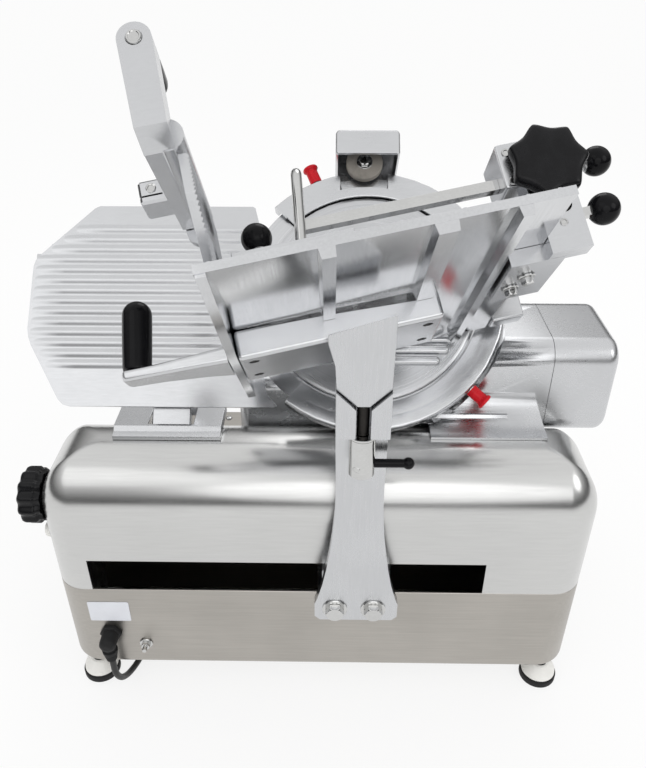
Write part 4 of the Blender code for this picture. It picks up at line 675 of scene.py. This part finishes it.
class SLICER_OT_lead(bpy.types.Operator):
    """Mains lead with its gland, coil, tie and plug."""

    bl_idname = "slicer.lead"
    bl_label = "Mains lead"

    def execute(self, context):
        sizes = context.scene.slicer_sizes
        radius = sizes.lead_diameter / 2.0
        points = lead_points()
        curve = bpy.data.curves.new("mains_lead", "CURVE")
        curve.dimensions = "3D"
        curve.bevel_depth = radius
        curve.bevel_resolution = 6
        curve.resolution_u = 6
        curve.use_fill_caps = True
        spline = curve.splines.new("BEZIER")
        spline.bezier_points.add(len(points) - 1)
        for knot, spot in zip(spline.bezier_points, points):
            knot.co = spot
            knot.handle_left_type = "AUTO"
            knot.handle_right_type = "AUTO"
        lead = bpy.data.objects.new("mains_lead", curve)
        context.scene.collection.objects.link(lead)
        curve.materials.append(FINISH["lead"])
        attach(lead, "base")
        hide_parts("cord", "cord_coil")

        # Plug: a flexible ribbed neck, a round body with finger flats, and two pins
        low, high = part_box("mains_plug")
        place = Matrix.Translation((low.x, (low.y + high.y) / 2.0, (low.z + high.z) / 2.0)) @ ALONG_X
        profile = [(radius + 0.0006, 0.0004)]
        for k in range(5):
            rib = 0.002 + 0.0042 * k
            wide = 0.0056 + 0.0006 * k
            thin = wide - 0.0013
            profile += [(wide, rib), (wide, rib + 0.0024), (thin, rib + 0.0028), (thin, rib + 0.0040)]
        profile += [(0.0095, 0.0235), (0.0165, 0.0275), (0.0185, 0.0310), (0.0190, 0.0350), (0.0182, 0.0400)]
        profile += [(0.0182, 0.0500), (0.0190, 0.0540), (0.0190, 0.0585), (0.0180, 0.0600), (0.0040, 0.0600)]
        shape = bmesh.new()
        add_turned(shape, place, profile, 48)
        body = len(shape.faces)
        for side in (-0.0095, 0.0095):
            profile = [(0.0024, 0.0598), (0.0024, 0.0770), (0.0019, 0.0785), (0.0008, 0.0790)]
            add_turned(shape, at(place, 0.0, side, 0.0), profile, 24)
        second_slot(shape, body)
        plug = close("plug", shape, FINISH["rubber"], FINISH["nickel"])
        stand_for(plug, "mains_plug")

        # Tie round the far side of the coil
        low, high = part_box("cord_coil")
        middle = (low + high) / 2.0
        pitch = sizes.lead_diameter + LEAD_GAP
        spot = (middle.x, middle.y + sizes.coil_radius + pitch / 2.0, 0.0085)
        place = Matrix.Translation(spot) @ ALONG_X
        wide = 0.006
        outside, inside = rounded(0.0086, 0.0088, 0.0042, 8), rounded(0.0078, 0.0080, 0.0036, 8)
        loops = []
        for outline, x in ((outside, -wide), (outside, wide), (inside, wide), (inside, -wide)):
            loops.append([place @ Vector((-a, b, x)) for a, b in outline])
        tie = skinned("coil_tie", loops, FINISH["rubber"], ring=True)
        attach(tie, "base")

        # Elbow gland: flange nut, body and a tapered ribbed sleeve pointing down
        shape = bmesh.new()
        low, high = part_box("cable_gland")
        centre = Vector(((low.x + high.x) / 2.0, HOME.y, high.z - 0.013))
        place = Matrix.Translation(centre) @ BACK_Y
        profile = [(0.0118, 0.0003, hexagon), (0.0118, 0.0042, hexagon), (0.0112, 0.0052), (0.0104, 0.0056)]
        profile += [(0.0104, 0.0190), (0.0096, 0.0228), (0.0070, 0.0256), (0.0030, 0.0266)]
        add_turned(shape, place, profile, 48)
        place = Matrix.Translation((centre.x, HOME.y - 0.016, centre.z))
        profile = [(0.0072, 0.004), (0.0076, -0.008), (0.0076, -0.0120), (0.0094, -0.0126), (0.0094, -0.0160)]
        for k in range(4):
            rib = -0.0168 - 0.0036 * k
            wide = 0.0088 - 0.0007 * k
            thin = wide - 0.0011
            profile += [(wide, rib), (wide, rib - 0.0018), (thin, rib - 0.0021), (thin, rib - 0.0032)]
        profile += [(0.0056, -0.0312), (0.0042, -0.0316)]
        add_turned(shape, place, profile, 40)
        stand_for(close("gland", shape, FINISH["rubber"]), "cable_gland")
        return {"FINISHED"}


def ring_clearance():
    """Cutter that keeps the casting clear of the ring guard."""
    tool = bmesh.new()
    add_turned(tool, KNIFE, [(0.1645, -0.0310), (0.1645, 0.30)], 128)
    return tool


class SLICER_OT_housings(bpy.types.Operator):
    """Lower pan, front housing, motor casing with its foot, and rear deck."""

    bl_idname = "slicer.housings"
    bl_label = "Housings"

    def execute(self, context):
        steps = 14
        corner = 0.040
        half_x = (PAN_HIGH.x - PAN_LOW.x) / 2.0
        half_y = (PAN_HIGH.y - PAN_LOW.y) / 2.0
        middle = (HOME.x, PAN_LOW.y + half_y)
        low, top, edge, rim = PAN_LOW.z, PAN_HIGH.z, 0.008, 0.0006
        levels = []
        for k in range(7):
            angle = math.pi / 2.0 * k / 6
            levels.append((edge * (1.0 - math.sin(angle)), low + edge * (1.0 - math.cos(angle))))
        levels += [(0.0, top - rim), (rim, top), (SHEET - rim, top), (SHEET, top - rim)]
        levels += [(SHEET, low + edge), (edge + SHEET, low + SHEET)]
        loops = []
        for inset, z in levels:
            section = rounded(half_x - inset, half_y - inset, corner - inset, steps, middle)
            loops.append([(a, b, z) for a, b in section])
        stand_for(skinned("pan", loops, FINISH["pan"]), "base_pan")

        # Front housing, with its carriage slot, gauge window and end-wall holes
        depth = (COVER_HIGH.y - COVER_LOW.y) / 2.0
        centre = (HOME.x, COVER_LOW.y + depth)
        nose = 0.0645
        level = COVER_HIGH.z - nose

        def cover_section(inset, rise):
            radius = min(max(corner - inset, 0.006), depth - inset - 0.0006)
            section = rounded(half_x - inset, depth - inset, radius, steps, centre)
            return [(a, b, level + rise) for a, b in section]

        def cover_mouth(wall):
            section = rounded(half_x - wall, depth - wall, corner - wall, steps, centre)
            return [(a, b, COVER_LOW.z) for a, b in section]

        loops = shell_loops(nose, 14, cover_section, cover_mouth)
        cover = skinned("front_housing", loops, FINISH["cover"])
        slot, window = bmesh.new(), bmesh.new()
        outline = [(-0.269, 0.16), (0.194, 0.16), (0.194, 0.229), (-0.269, 0.229)]
        add_rings(slot, [[MACHINE @ Vector((x, y, z)) for x, z in outline] for y in (-0.02, 0.02)])
        add_box(window, KNIFE, (-0.253, -0.205, -0.0397), (-0.202, -0.11, -0.0090))
        cutters = [slot, window]
        for node, radius in (("index_knob", 0.0063), ("start_button", 0.0084), ("stop_button", 0.0084)):
            low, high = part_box(node)
            spot = (HOME.x - half_x - 0.01, (low.y + high.y) / 2.0, (low.z + high.z) / 2.0)
            hole = bmesh.new()
            add_turned(hole, Matrix.Translation(spot) @ ALONG_X, [(radius, 0.0), (radius, 0.03)], 40)
            cutters.append(hole)
        carve(cover, cutters)
        stand_for(cover, "front_cover")

        # Motor casing: the casting's barrel and the flat-ended shell that closes it
        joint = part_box("motor_end_cap")[0].x
        half_wide, half_tall, round_edge = 0.0660, 0.0615, 0.026
        core = (HOME.y + 0.1840, 0.3885)
        cap_nose = 0.013
        cap_flat = HOME.x + 0.344 - cap_nose

        def casing(inset, x):
            section = rounded(half_wide - inset, half_tall - inset, round_edge - inset, steps, core)
            return [(x, a, b) for a, b in section]

        loops = shell_loops(
            cap_nose, 10, lambda inset, rise: casing(inset, cap_flat + rise), lambda wall: casing(wall, joint)
        )
        stand_for(skinned("motor_cap", loops, FINISH["alloy"]), "motor_end_cap")
        loops = [casing(0.0, x) for x in (HOME.x + 0.150, joint - 0.0006)]
        barrel = skinned("motor_barrel", loops, FINISH["alloy"])
        carve(barrel, [ring_clearance()])
        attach(barrel, "base")

        # Flared foot of the casting on the housing's ridge
        base, front, back = COVER_HIGH.z + 0.0003, 0.072, 0.170
        outline = [(back, base), (front, base)]
        for k in range(11):
            turn = math.pi / 2.0 * k / 10
            flare = (front + 0.046 * math.sin(turn), base + 0.0030 + 0.032 * (1.0 - math.cos(turn)))
            outline.append(flare)
        outline.append((back, base + 0.035))
        left = [(HOME.x + 0.128, HOME.y + y, z) for y, z in outline]
        right = [(HOME.x + 0.262 - 0.30 * (z - base), HOME.y + y, z) for y, z in outline]
        foot = skinned("casting_foot", [left, right], FINISH["alloy"])
        carve(foot, [ring_clearance()])
        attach(foot, "base")
        finished("rear_deck", FINISH["pan"], 0.0012)
        return {"FINISHED"}


class SLICER_OT_castings(bpy.types.Operator):
    """Pedestal, ring guard, gauge, carriage, tray and press castings with broken edges."""

    bl_idname = "slicer.castings"
    bl_label = "Castings"

    def execute(self, context):
        tools = bmesh.new(), bmesh.new()
        add_box(tools[0], MACHINE, (0.2195, 0.050, 0.3560), (0.300, 0.1195, 0.460))
        add_box(tools[1], MACHINE, (0.2195, 0.050, 0.3900), (0.300, 0.300, 0.460))
        carve(finished("pedestal", FINISH["alloy"], 0.0010), tools)
        for node, kind, edge in (
            ("ring_guard", "alloy_knife", 0.0007),
            ("knife_cover", "disc", 0.0006),
            ("gauge_arm", "alloy_knife", 0.0008),
            ("gauge_saddle", "alloy", 0.0010),
            ("sharpener_bracket", "alloy_knife", 0.0008),
            ("carriage_arm", "alloy_arm", 0.0014),
            ("carriage_truck", "alloy", 0.0012),
            ("tray_post", "alloy_arm", 0.0012),
            ("tray_beam", "alloy_tray", 0.0006),
            ("tray_plate", "tray", 0.0006),
            ("side_fence", "alloy_tray", 0.0006),
            ("press_arm", "alloy_tray", 0.0010),
            ("feed_rod_block", "alloy_tray", 0.0006),
            ("feed_rod_foot", "alloy_tray", 0.0006),
            ("feed_slider", "alloy_tray", 0.0007),
            ("pusher", "alloy_tray", 0.0007),
            ("press_bar", "nickel", 0.0006),
            ("rod_block_left", "alloy", 0.0010),
            ("rod_block_right", "alloy", 0.0010),
            ("slide_rod", "nickel", 0.0006),
            ("guide_rod", "nickel", 0.0006),
            ("feed_rod", "oxide", 0.0004),
            ("lock_screw", "oxide", 0.0004),
            ("knife_shaft", "nickel", 0.0004),
            ("knife_bearing", "nickel", 0.0005),
            ("worm_wheel", "bronze", 0.0003),
            ("motor_shaft", "nickel", 0.0003),
            ("blade_motor", "enamel", 0.0008),
            ("index_shaft", "nickel", 0.0004),
        ):
            finished(node, FINISH[kind], edge)

        # Gauge plate with broad soft ridges that run out at both ends
        top, bottom, arc = 0.117, -0.132, 0.1555
        outline = [(-0.327, top), (-0.333, top - 0.0028), (-0.394, 0.054), (-0.400, 0.046), (-0.402, 0.038)]
        outline += [(-0.402, -0.040), (-0.400, -0.050), (-0.396, -0.060), (-0.359, -0.124), (-0.353, -0.130)]
        outline += [(-0.345, bottom), (-0.108, bottom), (-0.105, bottom + 0.002), (-0.117, -0.1165)]
        for k in range(25):
            angle = math.radians(219.0 - 72.5 * k / 24)
            outline.append((arc * math.cos(angle), arc * math.sin(angle)))
        outline += [(-0.137, top - 0.002), (-0.140, top)]
        shape = bmesh.new()
        add_rings(shape, [[KNIFE @ Vector((x, u, n)) for x, u in outline] for n in (-0.0070, -0.0030)])
        pitch, half = 0.013, 0.0063
        for row in range(14):
            u = 0.087 - pitch * row
            left = -0.402
            if u > 0.049:
                left = -0.398 + (u - 0.049) * 1.06
            elif u < -0.052:
                left = -0.399 + (-0.052 - u) * 0.62
            left += 0.003
            right = -math.sqrt(arc ** 2 - u ** 2) - 0.003
            run = [(left, 0.05), (left + 0.010, 0.40), (left + 0.022, 0.80), (left + 0.036, 1.0)]
            run += [(right - 0.020, 1.0), (right - 0.008, 0.60), (right, 0.10)]
            loops = []
            for x, share in run:
                loop = [(u + half, -0.0034), (u - half, -0.0034)]
                for k in range(13):
                    swell = max(0.0, math.cos(math.pi * (k / 12 - 0.5))) ** 1.5
                    loop.append((u - half + 2.0 * half * k / 12, -0.0031 + 0.0016 * share * swell))
                loops.append([KNIFE @ Vector((x, a, n)) for a, n in loop])
            add_rings(shape, loops)
        stand_for(close("gauge_face", shape, FINISH["alloy_knife"]), "gauge_plate")

        # Handle arm: a tapering bracket out to the grip
        loops = []
        for t, low, high, back, front in (
            (-0.2463, -0.0270, -0.0120, 0.130, 0.184),
            (-0.2700, -0.0260, -0.0132, 0.140, 0.184),
            (-0.3080, -0.0250, -0.0146, 0.151, 0.184),
            (-0.3360, -0.0245, -0.0145, 0.155, 0.184),
            (-0.3385, -0.0240, -0.0148, 0.156, 0.183),
            (-0.3400, -0.0230, -0.0155, 0.158, 0.180),
        ):
            spot = ((high + low) / 2.0, (front + back) / 2.0)
            section = rounded((high - low) / 2.0, (front - back) / 2.0, 0.0035, 6, spot)
            loops.append([TRAY @ Vector((t, a, b)) for a, b in section])
        stand_for(skinned("handle_bracket", loops, FINISH["alloy_tray"]), "handle_arm")

        # Sharpener head: a hood open below, with its sliding tongue
        loops = []
        for inset, n in ((0.0040, 0.0440), (0.0022, 0.0438), (0.0008, 0.0428), (0.0, 0.0405), (0.0, -0.0340)):
            section = rounded(0.038 - inset, 0.017 - inset, 0.0055 - inset, 6, (-0.002, 0.177))
            loops.append([KNIFE @ Vector((a, b, n)) for a, b in section])
        hood = skinned("sharpener_hood", loops, FINISH["alloy_knife"])
        inside, mouth = bmesh.new(), bmesh.new()
        add_box(inside, KNIFE, (-0.037, 0.150, -0.0300), (0.033, 0.1910, 0.0408))
        add_box(mouth, KNIFE, (-0.0367, 0.150, 0.0200), (0.0327, 0.1625, 0.0600))
        carve(hood, [inside, mouth])
        stand_for(hood, "sharpener_head")
        shape = bmesh.new()
        add_box(shape, KNIFE, (-0.017, 0.1760, -0.0600), (0.007, 0.1920, -0.0325))
        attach(close("sharpener_tongue", shape, FINISH["alloy_knife"]), BODY_OF["sharpener_head"])

        # Lip of the ring guard across the stone's notch
        lip = ((0.1392, 0.0008), (0.1512, 0.0008), (0.1512, 0.0038), (0.1505, 0.0045), (0.1392, 0.0045))
        loops = swept_loops(80.6, 22.6, 16, lambda degrees: lip)
        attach(skinned("ring_lip", loops, FINISH["alloy_knife"]), BODY_OF["ring_guard"])

        # Broad face of the ring guard, which hides the blade up to its cover disc and clears the stone
        def ring_section(degrees):
            rim = 0.1390 if 78.0 < degrees < 106.0 else 0.1440
            outer = ((0.1275, 0.0031), (0.1385, 0.0031), (rim, 0.0060), (rim, 0.0068))
            return outer + ((0.1295, 0.0064), (0.1275, 0.0050))

        loops = swept_loops(-126.5, 261.0, 88, ring_section)
        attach(skinned("ring_face", loops, FINISH["alloy_knife"]), BODY_OF["ring_guard"])

        # Pressed beads over the cover disc's ribs
        shape = bmesh.new()
        for k in range(3):
            u = -0.052 - 0.013 * k
            right = math.sqrt(0.112 ** 2 - u * u) - 0.004
            left = -0.010 + 0.012 * k
            loops = []
            for half, n in ((0.0056, 0.0060), (0.0050, 0.0090), (0.0036, 0.0112), (0.0016, 0.0122)):
                middle = ((right + left) / 2.0, u)
                section = rounded((right - left) / 2.0 + half, half, half * 0.98, 8, middle)
                loops.append([KNIFE @ Vector((a, b, n)) for a, b in section])
            add_rings(shape, loops)
        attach(close("cover_beads", shape, FINISH["alloy_knife"]), BODY_OF["knife_cover"])
        return {"FINISHED"}


class SLICER_OT_knife(bpy.types.Operator):
    """Hollow-ground round knife and the sharpening stone."""

    bl_idname = "slicer.knife"
    bl_label = "Knife and stone"

    def execute(self, context):
        profile = [(0.030, -0.0055), (0.118, -0.0062), (0.146, -0.0048), (0.1494, -0.0042), (0.1500, -0.0036)]
        profile += [(0.1500, -0.0034), (0.1380, -0.0019), (0.1285, -0.0008), (0.030, -0.0008)]
        knife = turned("round_knife", KNIFE, profile, FINISH["blade"], sides=160, ring=True, sharp=3.0)
        stand_for(knife, "knife")

        # Stone on its spindle, with a washer and a nut
        place = at(KNIFE, -0.005, 0.1655, 0.0)
        shape = bmesh.new()
        stone = [(0.0040, -0.0297), (0.0040, 0.0095), (0.0206, 0.0098), (0.0220, 0.0110), (0.0220, 0.0178)]
        add_turned(shape, place, stone + [(0.0208, 0.0190), (0.0100, 0.0191)], 64, [1, 1, 0, 0, 0, 0])
        washer = [(0.0095, 0.0188), (0.0095, 0.0202), (0.0090, 0.0205), (0.0040, 0.0205)]
        nut = [(0.0062, 0.0204, hexagon), (0.0062, 0.0228, hexagon), (0.0058, 0.0236), (0.0035, 0.0238)]
        for profile in (washer, nut):
            add_turned(shape, place, profile, 48, [1, 1, 1])
        stand_for(close("sharpening_stone", shape, FINISH["grit"], FINISH["nickel"]), "grinding_stone")
        return {"FINISHED"}


class SLICER_OT_knobs(bpy.types.Operator):
    """Ball knobs, star knob, index knob, grips, pull knobs and buttons."""

    bl_idname = "slicer.knobs"
    bl_label = "Knobs and grips"

    def execute(self, context):
        black, scuffed, nickel = FINISH["black"], FINISH["scuffed"], FINISH["nickel"]
        radius = context.scene.slicer_sizes.ball
        sides = context.scene.slicer_sizes.sides

        # Ball knobs on steel necks, on the feed slider and the pusher
        for name, node, place, neck, centre in (
            ("slider_ball", "feed_knob", at(TRAY, 0.090, 0.090, 0.178) @ ALONG_X, 0.0225, 0.0360),
            ("pusher_ball", "pusher_knob", at(TRAY, -0.199, 0.0462, 0.200) @ ALONG_Y, 0.0140, 0.0272),
        ):
            profile = [(0.0040, 0.0003), (0.0040, neck), (0.0072, neck + 0.0008), (0.0080, neck + 0.0018)]
            crown = ball(radius, centre, centre - 0.0094)
            slots = [1, 1, 1] + [0] * (len(crown) + 1)
            stand_for(turned(name, place, profile + crown, black, nickel, sides=sides, slots=slots), node)

        # Clamp lever: a steel eye round the rod, a flat shank and a ball
        shape = bmesh.new()
        place = at(TRAY, 0.053, 0.026, 0.2143)
        profile = [(0.0073, 0.0), (0.0128, 0.0), (0.0135, 0.0007), (0.0135, 0.0093), (0.0128, 0.0100)]
        add_turned(shape, place, profile + [(0.0073, 0.0100)], sides, ring=True)
        add_box(shape, place, (0.0115, -0.004, 0.0012), (0.0352, 0.004, 0.0088))
        metal = len(shape.faces)
        profile = [(0.0050, 0.0336), (0.0076, 0.0342)] + ball(radius, 0.0460, 0.0362)
        add_turned(shape, at(place, 0.0, 0.0, 0.0050) @ ALONG_X, profile, sides)
        second_slot(shape, metal)
        stand_for(close("clamp_lever", shape, nickel, black), "rod_lock_lever")

        # Star knob with seven hollow scallops
        place = at(TRAY, 0.060, 0.075, 0.200) @ Matrix.Rotation(math.radians(-4.5), 4, "Z")
        lobes = scalloped(7, 0.17)
        shape = bmesh.new()
        stem = [(0.0040, 0.0053), (0.0040, 0.0215), (0.0110, 0.0216), (0.0110, 0.0226)]
        add_turned(shape, place, stem, sides, [1, 1, 1])
        rim = [(0.60, 0.0224), (0.84, 0.0226), (0.92, 0.0236), (0.975, 0.0254), (1.0, 0.0280), (1.0, 0.0320)]
        rim += [(0.985, 0.0345), (0.95, 0.0362), (0.88, 0.0374), (0.76, 0.0380), (0.50, 0.0381)]
        rim += [(0.22, 0.0378)]
        add_turned(shape, place, [(0.036 * s, n, lobes) for s, n in rim], 160)
        stand_for(close("star_grip", shape, scuffed, nickel, sharp=60.0), "star_knob")

        # Index knob with a fluted rim and a white mark
        low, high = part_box("index_knob")
        wall = HOME.x - (PAN_HIGH.x - PAN_LOW.x) / 2.0
        place = Matrix.Translation((wall, (low.y + high.y) / 2.0, (low.z + high.z) / 2.0)) @ BACK_X
        flutes = lobed(12, 0.05)
        rim = [(0.90, 0.0007), (0.905, 0.0055), (0.96, 0.0072), (1.0, 0.0090), (1.0, 0.0200), (0.985, 0.0225)]
        rim += [(0.95, 0.0248), (0.88, 0.0264)]
        dish = [(0.0245, 0.0272), (0.0225, 0.0262), (0.0060, 0.0262)]
        shape = bmesh.new()
        add_turned(shape, place, [(0.034 * s, n, flutes) for s, n in rim] + dish, 192)
        add_turned(shape, place, [(0.0060, -0.0001), (0.0060, 0.0040)], 32)
        knob = len(shape.faces)
        mark = place @ Matrix.Rotation(math.radians(90.0), 4, "Z")
        add_box(shape, mark, (0.0110, -0.0010, 0.0258), (0.0205, 0.0010, 0.0266))
        second_slot(shape, knob)
        stand_for(close("index_grip", shape, scuffed, FINISH["white"], sharp=50.0), "index_knob")

        # Carriage hand grip and the roller handle of the press
        place = at(TRAY, -0.3285, -0.0140, 0.169) @ Matrix.Rotation(math.radians(-9.0), 4, "Z") @ ALONG_Y
        profile = [(0.0106, -0.0004), (0.0124, 0.0006), (0.0130, 0.0030), (0.0133, 0.0200), (0.0135, 0.0380)]
        profile += ball(0.0135, 0.0520, 0.0521)
        stand_for(turned("carriage_grip", place, profile, black, sides=sides), "hand_grip")
        place = at(TRAY, -0.252, 0.169, 0.0)
        profile = [(0.0080, 0.3002), (0.0104, 0.3008), (0.0119, 0.3026), (0.0125, 0.3060), (0.0126, 0.3182)]
        profile += [(0.0124, 0.3290), (0.0116, 0.3330), (0.0100, 0.3342), (0.0060, 0.3342), (0.0060, 0.3606)]
        profile += [(0.0052, 0.3615), (0.0042, 0.3615), (0.0038, 0.3611), (0.0012, 0.3611)]
        slots = [0] * 8 + [1] * 5
        roller = turned("press_roller", place, profile, black, nickel, sides=sides, slots=slots)
        stand_for(roller, "press_handle")

        # Lock collar: chromed sleeve with a set screw and a black tommy bar
        low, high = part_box("lock_collar")
        bore, reach = 0.0060, 0.0128
        centre = Vector((low.x + reach, (low.y + high.y) / 2.0, low.z))
        tall = high.z - low.z
        lip = reach + 0.0004
        profile = [(bore, 0.0), (reach - 0.0012, 0.0), (reach, 0.0012), (reach, tall - 0.0034)]
        profile += [(reach - 0.0010, tall - 0.0028), (lip, tall - 0.0022), (lip, tall - 0.0006)]
        profile += [(reach - 0.0004, tall), (bore, tall)]
        shape = bmesh.new()
        add_turned(shape, Matrix.Translation(centre), profile, sides)
        front = Matrix.Translation(centre + Vector((-0.0045, -0.0097, 0.012)))
        front = front @ Matrix.Rotation(math.radians(-25.0), 4, "Z") @ BACK_Y
        add_socket_screw(shape, front, 0.0040, 0.0022)
        metal = len(shape.faces)
        arm = Matrix.Translation(centre + Vector((0.0, 0.0, 0.012))) @ ALONG_X
        profile = [(0.0042, 0.0110), (0.0044, 0.0125), (0.0042, 0.0405)] + ball(0.0060, 0.0450, 0.0408, 8)
        add_turned(shape, arm, profile, 40)
        second_slot(shape, metal)
        stand_for(close("collar_and_bar", shape, nickel, black), "lock_collar")

        # Two red pull knobs with sleeves over the ring's bosses
        profile = [(0.0010, 0.0064), (0.0065, 0.0064), (0.0065, 0.0006), (0.0073, 0.0004), (0.0071, 0.0150)]
        profile += [(0.0074, 0.0174), (0.0086, 0.0188), (0.0094, 0.0198), (0.0094, 0.0216), (0.0086, 0.0228)]
        profile += [(0.0050, 0.0234), (0.0020, 0.0235)]
        for node, degrees in (("red_knob_upper", 113.0), ("red_knob_lower", -42.9)):
            place = at(KNIFE @ Matrix.Rotation(math.radians(degrees), 4, "Z"), 0.1602, 0.0, -0.003) @ ALONG_X
            stand_for(turned(node + "_grip", place, profile, FINISH["red"], nickel, sides=48), node)

        # Push buttons
        profile = [(0.0080, -0.0140), (0.0080, 0.0033), (0.0100, 0.0033), (0.0100, 0.0054), (0.0096, 0.0078)]
        profile += [(0.0086, 0.0093), (0.0066, 0.0102), (0.0030, 0.0103)]
        for node, kind in (("start_button", "white"), ("stop_button", "black")):
            low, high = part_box(node)
            place = Matrix.Translation((wall, (low.y + high.y) / 2.0, (low.z + high.z) / 2.0)) @ BACK_X
            stand_for(turned(node + "_cap", place, profile, FINISH[kind], sides=48), node)
        return {"FINISHED"}


class SLICER_OT_feet(bpy.types.Operator):
    """Four feet: threaded black stem, white disc and rubber ring."""

    bl_idname = "slicer.feet"
    bl_label = "Feet"

    def execute(self, context):
        ring = [(0.0215, 0.0), (0.0232, 0.0008), (0.0235, 0.0020), (0.0235, 0.0082), (0.0228, 0.0098)]
        ring += [(0.0216, 0.0106)]
        disc = [(0.0216, 0.0112), (0.0212, 0.0150), (0.0200, 0.0176), (0.0150, 0.0232), (0.0124, 0.0262)]
        disc += [(0.0112, 0.0272)]
        stem = [(0.0090, 0.0276)]
        for k in range(9):
            z = 0.0282 + 0.0020 * k
            stem += [(0.0090, z), (0.0082, z + 0.0010)]
        finishes = FINISH["rubber"], FINISH["white"], FINISH["scuffed"]
        slots = [0] * 6 + [1] * 6 + [2] * 19
        for node in ("foot_front_left", "foot_front_right", "foot_rear_left", "foot_rear_right"):
            low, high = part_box(node)
            place = Matrix.Translation(((low.x + high.x) / 2.0, (low.y + high.y) / 2.0, 0.0))
            profile = ring + disc + stem + [(0.0090, high.z - 0.0002)]
            stand_for(turned(node + "_turned", place, profile, *finishes, sides=64, slots=slots), node)
        return {"FINISHED"}


class SLICER_OT_fasteners(bpy.types.Operator):
    """Bolts, cap screws, the earth stud and the bare plate."""

    bl_idname = "slicer.fasteners"
    bl_label = "Fasteners"

    def execute(self, context):
        sizes = context.scene.slicer_sizes
        nickel = FINISH["nickel"]
        # Carriage arm bolts
        shape = bmesh.new()
        for x in (0.0195, 0.0630):
            place = at(MACHINE, x, -0.036, 0.1945) @ BACK_Y
            add_hex_bolt(shape, place, sizes.bolt_flats, 0.0080, sizes.washer)
        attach(close("arm_bolts", shape, nickel), "carriage")

        # Cap screws sunk in the beam, and the bolts and screw of the feed rod bracket
        shape = bmesh.new()
        for t in (-0.2244, -0.064):
            for n in (0.168, 0.120):
                add_socket_screw(shape, at(TRAY, t, -0.0205, n) @ BACK_Y, 0.0044, 0.0062)
        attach(close("beam_screws", shape, FINISH["oxide"]), "carriage")
        shape = bmesh.new()
        for t, n in ((0.0213, 0.2070), (0.0123, 0.1836)):
            add_hex_bolt(shape, at(TRAY, t, -0.0145, n) @ BACK_Y, 0.0100, 0.0062, 0.0078)
        add_socket_screw(shape, at(TRAY, 0.0490, 0.0103, 0.2500), 0.0034, 0.0012)
        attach(close("tray_screws", shape, nickel), "carriage")

        # Screws of the press arm's clamp and of the feed slider
        shape = bmesh.new()
        add_socket_screw(shape, at(TRAY, -0.2735, 0.1075, 0.2620), 0.0042, 0.0012)
        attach(close("clamp_screw", shape, nickel), "press")
        shape = bmesh.new()
        for w in (0.0950, 0.0680):
            add_socket_screw(shape, at(TRAY, 0.0300, w, 0.2210), 0.0040, 0.0012)
        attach(close("slider_screws", shape, nickel), "feed")

        # Earth stud on the pan's front
        shape = bmesh.new()
        place = at(MACHINE, -0.217, 0.0, 0.086) @ BACK_Y
        add_hex_bolt(shape, place, 0.0100, 0.0052, 0.0082)
        add_turned(shape, place, [(0.0030, 0.0068), (0.0030, 0.0125), (0.0026, 0.0132), (0.0010, 0.0134)], 32)
        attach(close("earth_stud", shape, nickel), "base")

        # Bare plate on the pan's front
        middle = (-0.255, 0.1435)
        outer, inner = rounded(0.0250, 0.0165, 0.0020, 6, middle), rounded(0.0246, 0.0161, 0.0018, 6, middle)
        loops = []
        for outline, y in ((outer, -0.0001), (outer, -0.0006), (inner, -0.0008)):
            loops.append([MACHINE @ Vector((x, y, z)) for x, z in outline])
        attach(skinned("bare_plate", loops, FINISH["plate"]), "base")

        # Screws that hold the rear deck, and the tie rod's nut behind the bearing boss
        shape = bmesh.new()
        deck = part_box("rear_deck")[1].z
        screw = [(0.0052, 0.0001), (0.0050, 0.0012), (0.0036, 0.0024), (0.0012, 0.0026)]
        for x in (-0.296, -0.150, 0.150, 0.296):
            for y in (0.155, 0.352):
                add_turned(shape, Matrix.Translation((HOME.x + x * 0.99, HOME.y + y, deck)), screw, 32)
        place = at(KNIFE, 0.0, 0.0, -0.1042) @ Matrix.Rotation(math.pi, 4, "X")
        add_hex_bolt(shape, place, 0.0190, 0.0080, 0.0140)
        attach(close("deck_screws", shape, nickel), "base")
        return {"FINISHED"}


class SLICER_PT_panel(bpy.types.Panel):
    """Lists the slicer's operators and settings."""

    bl_idname = "SLICER_PT_panel"
    bl_label = "Meat slicer"
    bl_space_type = "VIEW_3D"
    bl_region_type = "UI"
    bl_category = "Slicer"

    def draw(self, context):
        for kind in OPERATORS:
            self.layout.operator(kind.bl_idname)
        for group in (context.scene.slicer_sizes, context.scene.slicer_colours):
            for name in group.bl_rna.properties.keys():
                if name not in ("rna_type", "name"):
                    self.layout.prop(group, name)


OPERATORS = (
    SLICER_OT_stage,
    SLICER_OT_lead,
    SLICER_OT_housings,
    SLICER_OT_castings,
    SLICER_OT_knife,
    SLICER_OT_knobs,
    SLICER_OT_feet,
    SLICER_OT_fasteners,
)
CLASSES = (SlicerSizes, SlicerColours, *OPERATORS, SLICER_PT_panel)


def register():
    for kind in CLASSES:
        bpy.utils.register_class(kind)
    bpy.types.Scene.slicer_sizes = PointerProperty(type=SlicerSizes)
    bpy.types.Scene.slicer_colours = PointerProperty(type=SlicerColours)


def unregister():
    del bpy.types.Scene.slicer_sizes
    del bpy.types.Scene.slicer_colours
    for kind in reversed(CLASSES):
        bpy.utils.unregister_class(kind)


def main():
    register()
    make_finishes()
    bpy.ops.slicer.stage()
    bpy.ops.slicer.lead()
    bpy.ops.slicer.housings()
    bpy.ops.slicer.castings()
    bpy.ops.slicer.knife()
    bpy.ops.slicer.knobs()
    bpy.ops.slicer.feet()
    bpy.ops.slicer.fasteners()


if __name__ == "__main__":
    main()
